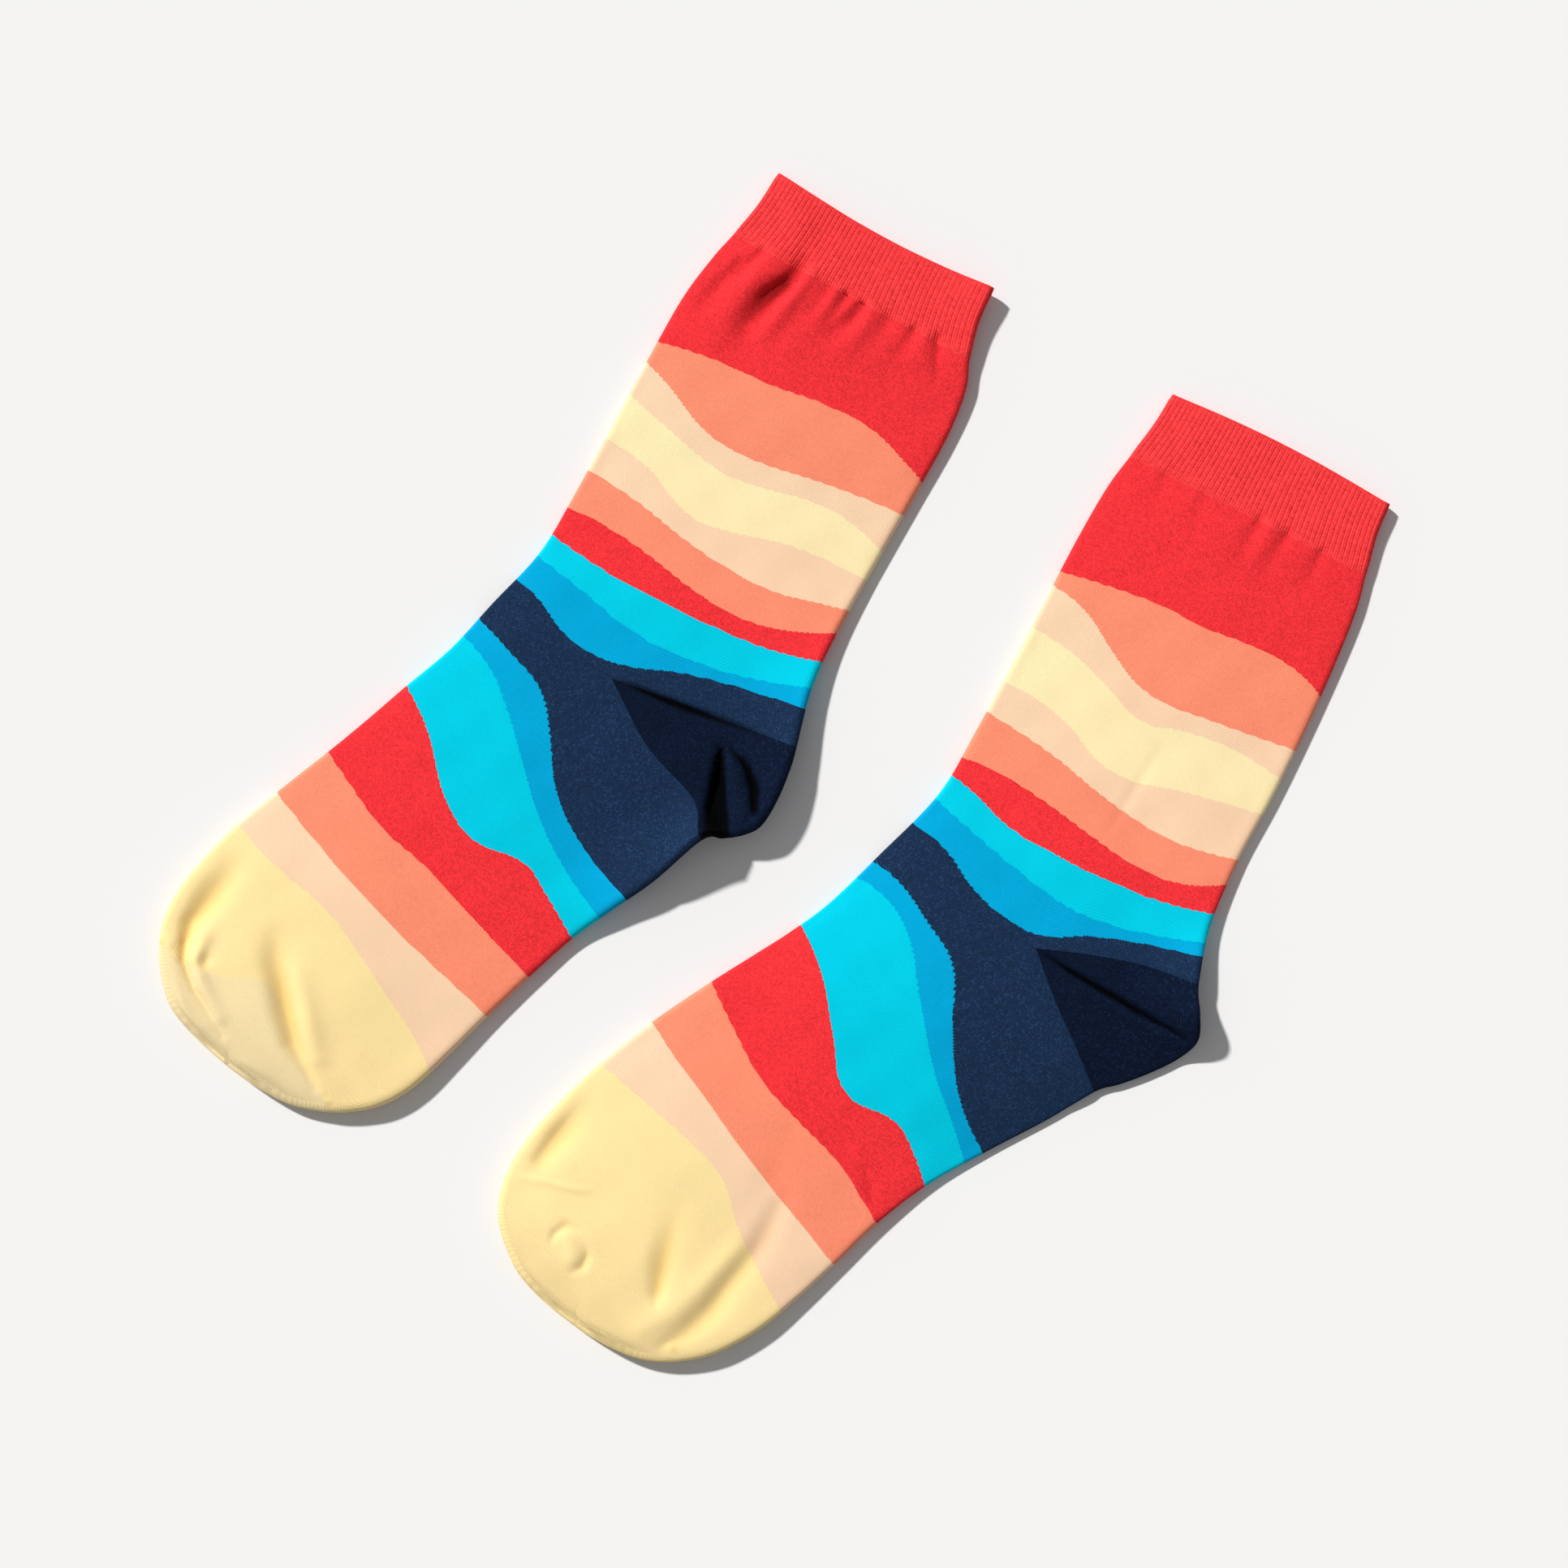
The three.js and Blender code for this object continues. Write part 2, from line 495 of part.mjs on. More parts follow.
// The heel pocket between its two seams, drawn in from them by the seam gap. It fans out from the apex.
function pocketCourses(sock) {
  const { back, gore, skipped } = edgesOf(sock);
  const [legSide, footSide] = [false, true].map((below) => courseAt(sock, gore, below));
  const pathOf = (course) => [course.centre, ...course.via, course.backCore];
  const insetOnEdge = (course, place) => {
    const slant = Math.abs(cross(wayOnCurve(pathOf(course), 3), wayOnCurve(back, place)));
    return SEAM_GAP / slant / speedOnCurve(back, place);
  };
  const start = gore + insetOnEdge(legSide, gore);
  const end = gore + skipped - insetOnEdge(footSide, gore + skipped);
  const seamWays = [legSide, footSide].map((course) => wayOnCurve(pathOf(course), 0));
  const middle = unit(shift(seamWays[0], seamWays[1], 1));
  const apex = shift(sock.apex, middle, SEAM_GAP / Math.abs(cross(seamWays[0], middle)));
  const insetVia = (course, sideways) =>
    course.via.map((point, i) => shift(point, sideways(wayOnCurve(pathOf(course), i + 1)), SEAM_GAP));
  const legVia = insetVia(legSide, turnRight);
  const footVia = insetVia(footSide, turnLeft);
  const chord = { from: pointOnCurve(back, start), to: pointOnCurve(back, end) };
  const values = (name) => [legSide[name], ...sock.pocket.map((p) => p[name]), footSide[name]];
  return Array.from({ length: HEEL_ROWS + 1 }, (_, i) => {
    const share = i / HEEL_ROWS;
    const place = mix(start, end, share);
    const backPoint = pointOnCurve(back, place);
    const bulge = shift(backPoint, mixPoint(chord.from, chord.to, share), -1);
    const value = (name) => onCurve(values(name), place - gore);
    const backIn = turnRight(wayOnCurve(back, place));
    return {
      ...legSide,
      centre: apex,
      backIn,
      backCore: shift(backPoint, backIn, legSide.round),
      via: legVia.map((point, k) => shift(mixPoint(point, footVia[k], share), bulge, ((k + 1) / 3) ** 2)),
      loft: value('loft'),
      liftBack: value('liftBack'),
    };
  });
}

// The courses from one section to another, drawn in by half the seam gap where a neighbour begins.
function coursesBetween(sock, from, to, gaps, belowGore) {
  const start = sock.sections.findIndex((s) => s.name === from);
  const end = sock.sections.findIndex((s) => s.name === to);
  const list = [];
  for (let i = start; i < end; i++) {
    const { steps } = sock.sections[i];
    for (let k = 0; k < steps; k++) list.push(i + k / steps);
  }
  list.push(end);
  const halfGap = (place) => (0.5 * SEAM_GAP) / courseSpeed(sock, place, belowGore);
  if (gaps.start) list[0] += halfGap(start);
  if (gaps.end) list[list.length - 1] -= halfGap(end);
  return list.map((place) => courseAt(sock, place, belowGore));
}

function tubeGrid(sock, courses, ring, isRing) {
  const row = (course) => ring.map(({ part, t }) => tubePoint(sock, course, JERSEY_WALL, part, t));
  return { rows: courses.map(row), isRing };
}

function buildSock(side, sock) {
  const cuff = coursesBetween(sock, 'cuff_top', 'cuff_end', { end: true }, false);
  const leg = coursesBetween(sock, 'cuff_end', 'gore', { start: true }, false);
  const foot = coursesBetween(sock, 'gore', 'toe_start', { end: true }, true);
  const toe = coursesBetween(sock, 'toe_start', 'tip', { start: true }, true);
  const bodies = {
    cuff: cuffBody(sock, cuff),
    leg_foot: walled([tubeGrid(sock, leg, TUBE_RING, true), tubeGrid(sock, foot, TUBE_RING, true)]),
    heel: walled([tubeGrid(sock, pocketCourses(sock), POCKET_RING, false)]),
    toe: walled([tubeGrid(sock, toe, TUBE_RING, true)]),
  };
  const group = new THREE.Group();
  for (const [piece, body] of Object.entries(bodies)) {
    group.add(body.mesh(`${side}_${piece}`, COLOURS[piece]));
  }
  group.position.set(sock.place.x, sock.place.y, 0);
  group.rotation.z = THREE.MathUtils.degToRad(sock.place.turn);
  return group;
}

// The pair, moved so that the middle of its footprint is the origin.
function buildPair() {
  const pair = new THREE.Group();
  pair.add(buildSock('left', LEFT_SOCK), buildSock('right', RIGHT_SOCK));
  const box = new THREE.Box3().setFromObject(pair, true);
  const middle = box.getCenter(new THREE.Vector3());
  pair.position.set(-middle.x, -middle.y, -box.min.z);
  return pair;
}

export default buildPair();
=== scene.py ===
import math

import bmesh
import bpy
import numpy as np
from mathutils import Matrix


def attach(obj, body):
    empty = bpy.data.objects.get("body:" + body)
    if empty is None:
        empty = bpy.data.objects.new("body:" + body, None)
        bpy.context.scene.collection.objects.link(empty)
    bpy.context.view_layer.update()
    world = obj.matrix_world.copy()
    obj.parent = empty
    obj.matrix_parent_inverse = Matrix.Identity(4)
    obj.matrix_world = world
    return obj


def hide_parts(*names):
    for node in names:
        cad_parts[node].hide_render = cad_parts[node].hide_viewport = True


# A pair of crew socks laid flat beside each other, each one knitted tube pressed flat. Lengths in the
# tables are millimetres, and meshes are made in metres.
#
# A sock is laid out in a plan frame of its own: the origin is the apex of its heel pocket, +Y runs up
# the leg to the cuff, +X points to the back of the leg and the toes lie towards -X and -Y.

MM = 0.001

# Cloth
JERSEY_WALL = 0.9
CUFF_WALL = 1.2
SEAM_GAP = 0.03
PANEL_AIR = 0.5  # least space between the two panels' inner faces
LIFT_REACH = 28  # how far in from a fold edge the underside is raised, where it is raised at all
CROWN_POWER = 2.2  # how flat the top panel is before it falls to its fold edges
FRONT_ROUND = 0.68  # radius of the front fold edge over that of the back one
LEAST_ROUND = 1.2

# Knit
WALES = 108  # columns of stitches across one face
COURSE_PITCH = 0.72  # height of one stitch
STITCH_SLANT = 0.6  # how far a stitch's legs drop from its sides to its middle, in courses
STRANDS = 2.0  # parts of a stitch, each way, that differ a little in colour
RIBS = 46  # across one face of the cuff
RIB_HEIGHT = 0.24
RIB_POWER = 1.2  # how narrow a rib's top is
RIB_START = 2.2  # how far below the cuff's top edge its ribs reach their full height
RIB_END = 4.0  # how far above its lower edge they start to flatten

# Painted shade in folds: the depth of fold at which it is full
FULL_SHADE_DEPTH = 4.0  # the depth of fold at which the yarn looks deepest

# Mesh
ROW_STEP = 1.17
TOE_ROW_STEP = 0.9
TOP_COLUMNS = 92
UNDER_COLUMNS = 26
ARC_COLUMNS = 8
CUFF_ARC_COLUMNS = 32
POINTS_PER_RIB = 6
POCKET_ROWS = 44
PACE_REACH = 0.02  # list steps each way over which a curve's pace is taken
LENGTH_SAMPLES = 2000
MOST_PAST = 0.1  # how far past an edge a place across the tube is counted on its rounding
LEAST_WIDTH = 1e-6
MERGE_REACH = 2e-6  # metres, as the next
LEAST_EDGE = 1e-7
SHARP_ANGLE = math.radians(62)

# Slight unevenness of the cloth: height, wave length, way and start of each wave
UNEVEN = ((0.10, 41, 0.4, 0.0), (0.08, 29, 1.9, 1.3), (0.06, 17, 2.7, 2.1), (0.04, 11, 0.9, 4.0))

# The middle of the pair's footprint is the frame's origin, and this is where the plan's origin lies.
PLAN_ORIGIN = (0.989, 6.480)

# Columns of the tables. A section is a course across the tube: the plan places of its front and back fold
# edges, where its middle lies between them, how far it bows up the leg, the radius of its back fold edge,
# how much higher its middle is, and how far its edges are off the floor.
SECTION = "name frontX frontY backX backY centre bow round loft liftFront liftBack"
POCKET = "backX backY loft liftBack"
LINE_POINT = "x y width height"
SPOT = "x y width depth"
BAND = "colour x0 y0 x1 y1 x2 y2 x3 y3 x4 y4 x5 y5 x6 y6"


def table(columns, rows):
    names = columns.split()
    return [dict(zip(names, row)) for row in rows]


def lines(**runs):
    """Named lines on the plan, each a run of points."""
    return {name: table(LINE_POINT, points) for name, points in runs.items()}


LEFT_SOCK = {
    "side": "left",
    "place": (-67.6, 4.7, -1.2),
    "sections": table(SECTION, [
        ("cuff_top", -31.3, 173.8, 50, 173.8, 0.41, -2.2, 2.2, 1.2, 0, 3.4),
        ("cuff_mid", -32.2, 161, 51, 161.5, 0.41, -0.6, 2.2, 1.4, 0, 2.4),
        ("cuff_end", -34.8, 148.3, 54.2, 149.6, 0.41, 0, 2.2, 2, 0, 1.6),
        ("flare", -37, 139, 58, 140, 0.41, 0, 2.2, 2.8, 0, 0.9),
        ("leg_top", -39.4, 122, 60, 123, 0.41, 0, 2.2, 1.6, 0, 0.2),
        ("leg_high", -39.7, 98, 59.8, 99, 0.41, 0, 2.2, 0.9, 0, 0),
        ("leg_mid", -39.6, 72, 59.4, 72, 0.41, 0, 2.2, 0.8, 0, 0),
        ("leg_low", -39.5, 46, 59.2, 47, 0.41, 0, 2.2, 1, 0, 1.2),
        ("ankle", -40.4, 25, 60.8, 28, 0.41, 0, 2.3, 1.8, 0, 3.4),
        ("gore", -46, 3, 65.5, 9.5, 0.42, 0, 2.4, 2.8, 0, 5.6),
        ("foot_a", -51, -17, 45.5, -52, 0.47, 0, 2.4, 2.4, 0, 6.2),
        ("foot_b", -58, -35, 38, -67, 0.47, 0, 2.4, 2, 0, 3.2),
        ("foot_c", -64, -51, 31, -81.5, 0.47, 0, 2.4, 1.8, 0, 0.5),
        ("foot_d", -70, -66, 24.5, -99.5, 0.47, 0, 2.4, 1.8, 0, 0.5),
        ("foot_e", -78.5, -86, 18.5, -118, 0.47, 0, 2.5, 2.2, 0, 0.7),
        ("foot_f", -86, -105, 13.5, -135, 0.47, 0, 2.7, 2.8, 0.2, 1),
        ("toe_start", -91, -125, 8.5, -150, 0.47, 0, 2.9, 3.2, 0.5, 1.4),
        ("toe_a", -91.7, -138, 2.5, -160, 0.47, 0, 3, 3.4, 0.9, 1.7),
        ("toe_b", -89.3, -147.5, -5.5, -167, 0.47, 0, 3, 3.2, 1.2, 1.9),
        ("toe_c", -83, -158, -15.5, -172.3, 0.47, 0, 3, 2.8, 1.4, 2),
        ("toe_d", -72, -167.3, -29, -175.4, 0.47, 0, 3, 2.2, 1.6, 1.9),
        ("tip", -50, -173.6, -50, -173.6, 0.5, 0, 3, 0, 1.7, 1.7),
    ]),
    "pocket": table(POCKET, [
        (67.2, 2, 3.4, 6.8),
        (68.4, -9, 3.8, 8),
        (67.8, -19, 3.8, 7.6),
        (64, -24.6, 3.4, 6.8),
        (58.6, -28.8, 3, 6.4),
    ]),
    "apex": (1.0, 0.0),
    "leg_seam": ((22.0, 3.0), (44.0, 6.3)),
    "foot_seam": ((22.0, -14.0), (43.5, -22.0)),
    "foot_seam_end": (53.0, -32.3),
    "foot_seam_lift": 7.4,
    "folds": lines(
            deep=[
                (-10.1, 169, 12, -0.2), (-10.2, 154, 8, -0.5), (-10, 147.5, 5, -2.4), (-11.5, 142, 6, -4.2),
                (-14.1, 136, 7, -4), (-15.8, 127, 8.5, -2.4), (-16.6, 117, 11, -0.7),
            ],
            deep_side=[(-5.2, 149, 5, 0.9), (-7.5, 138, 6, 1.5), (-11, 124, 8, 0.9)],
            deep_front=[(-19, 148, 7, 0.5), (-22, 136, 8, 1.2), (-24, 121, 10, 0.4)],
            front_a=[(-28.4, 141, 3.6, -0.9), (-30.8, 131, 4.6, -0.9), (-33, 121, 5, -0.3)],
            front_b=[(-23.6, 147.5, 3, -0.9), (-26.5, 138, 4, -0.8)],
            mid_a=[(1.9, 147, 4, -0.6), (1.9, 133, 6, -0.4)],
            mid_a_side=[(4.6, 148, 3.4, 0.6), (3.6, 138, 5, 0.8), (0.5, 127, 8, 0.3)],
            spot_a=[(8, 148, 2.8, -1.5), (7.6, 143.6, 3, -1.1), (6.5, 138, 5, -0.3)],
            spot_b=[(14.2, 148, 3.2, -1.6), (13.6, 143, 4, -1.7), (11.4, 138, 5, -0.8), (8, 131, 7, -0.2)],
            spot_b_side=[(18.6, 147, 5, 0.9), (17.8, 138, 6, 0.8), (15, 127, 9, 0.2)],
            back_a=[(24.2, 148, 4, -0.7), (24, 140, 5, -0.3)],
            back_b=[(33.2, 149, 2.8, -1.3), (32.8, 144, 3.4, -0.6), (31.6, 135, 7, -0.2)],
            back_c_side=[(37.6, 150, 3, 0.6), (39, 141, 6, 0.5)],
            back_c=[(41.4, 151, 2.6, -1.1), (44, 145, 3, -1), (48, 138, 4, -0.4)],
            cuff_edge=[(47, 172, 2.4, -0.5), (49.6, 153, 2.4, -0.6)],
            seam=[(6, 1.2, 1.6, -0.3), (22, 2.6, 2.6, -1.2), (36, 4.9, 2.4, -1), (53, 7.9, 1.8, -0.4)],
            pleat=[
                (43.6, -2.9, 1.8, -1.6), (48, -12.4, 4.2, -5), (52.3, -21.8, 5.4, -8),
                (57, -30.4, 6.8, -10),
            ],
            lobe=[(48, -5, 4, 0.9), (52.6, -10, 6, 2.2), (59, -18, 8, 2.2), (63, -23, 8, 1.4)],
            lobe_side=[
                (45.9, -1.9, 1.6, -0.7), (53.5, -3.7, 2.4, -2.2), (59.7, -9.1, 3, -3),
                (63.4, -15.4, 3, -2.2),
            ],
            toe_front=[
                (-78.8, -116, 9, -0.9), (-80.5, -127, 9, -2.6), (-82.4, -138, 6, -3),
                (-80.8, -145, 3.6, -2.8), (-78.5, -150, 2.6, -2), (-71, -156.3, 2.3, -1.3),
                (-65.7, -158.8, 2.3, -0.9), (-55, -165, 2.6, -0.3),
            ],
            toe_ridge=[
                (-75.8, -139, 5, 0.8), (-75, -147, 4, 1.6), (-69, -153, 5, 1.3), (-59, -160, 6, 0.8),
            ],
            knot=[(-87.6, -146.2, 3.4, 1.7), (-85.9, -147.6, 3.4, 1.7)],
            toe_lobe=[(-84, -153, 6, 0.9), (-76, -161, 7, 1.1), (-64, -167, 7, 0.6)],
            dimple=[(-71.6, -145.4, 3.4, -0.7), (-71.9, -147.4, 3.4, -0.8)],
            toe_back=[
                (-56, -129, 8, -0.7), (-51.2, -136.3, 8, -1.9), (-46.8, -141, 7, -2.7),
                (-40.3, -148.6, 7, -3.1), (-33.6, -155.8, 6, -2.8), (-27, -160.5, 4, -1.2),
                (-20, -165.5, 3, -0.4),
            ],
            toe_back_side=[(-42, -135, 7, 0.6), (-33, -146, 8, 1.3), (-24, -156, 7, 0.8)],
            small_knot=[(-13.6, -168, 2.4, 0.8), (-12.6, -168.6, 2.4, 0.8)],
    ),
    # Painted shade: dark lines in the heel's pleat, beside its lobe and along the leg seam
    "painted_shade_lines": lines(
            pleat=[
                (44.2, -2.8, 1.6, 0.5), (48.4, -12, 3, 1.5), (52.6, -21, 4.4, 2.2), (57.2, -30, 6.2, 2.6),
            ],
            lobe_side=[
                (48, -2.2, 1.4, 0.3), (53.5, -3.9, 2.2, 0.9), (59.7, -9.3, 2.8, 1.3), (63.2, -16, 2.6, 1.1),
            ],
            seam=[
                (3, 0.7, 1.6, 0.3), (12, 1.4, 2.2, 0.9), (26, 2.9, 2.6, 1), (40, 5.1, 2.2, 0.7),
                (56, 8, 1.8, 0.2),
            ],
    ),
    # Spots of painted shade at the toe's knots and a dimple
    "painted_shade_spots": table(SPOT, [
        (-86.8, -146.9, 3.6, 0.6),
        (-88.2, -148.4, 2.2, 0.55),
        (-71.8, -146.6, 2.6, 0.4),
        (-13.4, -168.4, 2.4, 0.8),
    ]),
    "bands": table(BAND, [
        ("coral", -41, 105, -20, 109, 0, 110.5, 20, 113.5, 38, 113.5, 50, 110, 61, 106),
        ("peach", -41, 98, -30, 94.5, -12, 87, 0, 85.5, 12, 86.7, 35, 91, 61, 94),
        ("yellow", -41, 86, -22, 81.5, 0, 77.5, 14, 79.2, 30, 83, 46, 83.2, 61, 79),
        ("peach", -41, 69, -22, 67, -10, 62, 0, 59.5, 12, 61.5, 32, 67, 61, 69),
        ("coral", -41, 57, -20, 55.5, 0, 52, 18, 50.4, 34, 51, 48, 54.5, 61, 58),
        ("red", -41, 42.5, -28, 43.4, -10, 42, 12, 38.5, 28, 38, 42, 41, 61, 50),
        ("cyan", -42, 32.6, -28, 31, -14, 30, 6, 30.4, 26, 31.5, 42, 33.5, 62, 39),
        ("blue", -43, 24.3, -20, 20.5, -4, 17.5, 10, 16.8, 28, 19, 46, 23.6, 63, 30),
        ("navy", -46, 14.2, -34, 11.8, -20, 5.6, -8, 4.1, 2, 5.6, 22, 13.2, 64, 22),
        ("blue", -50, -3, -32, -8.8, -18, -14.5, -8, -26, 2, -40.5, 16, -51.5, 45, -63),
        ("cyan", -52, -10.5, -36, -16.4, -24, -26, -12, -38, 0, -50, 16, -61.8, 40, -73),
        ("red", -60, -33.5, -46, -43, -26, -63, -14, -68.6, 6, -67.8, 16, -73, 34, -84),
        ("coral", -73, -65, -58, -72.5, -42, -79.8, -24, -84, -4, -90.5, 12, -96, 28, -101),
        ("peach", -82, -85, -62, -93.2, -44, -99.8, -22, -107, -4, -112, 10, -115.6, 23, -119.5),
        ("toe", -90, -100, -66, -108, -46, -112, -30, -119, -14, -127.5, 0, -135, 12, -144),
        # Painted light on the toe's end beyond its seam, where the under panel wraps over
        ("tip", -95, -147, -77, -150.2, -66, -148.4, -50, -142.8, -36, -153.5, -22, -164, -5, -172),
    ]),
}

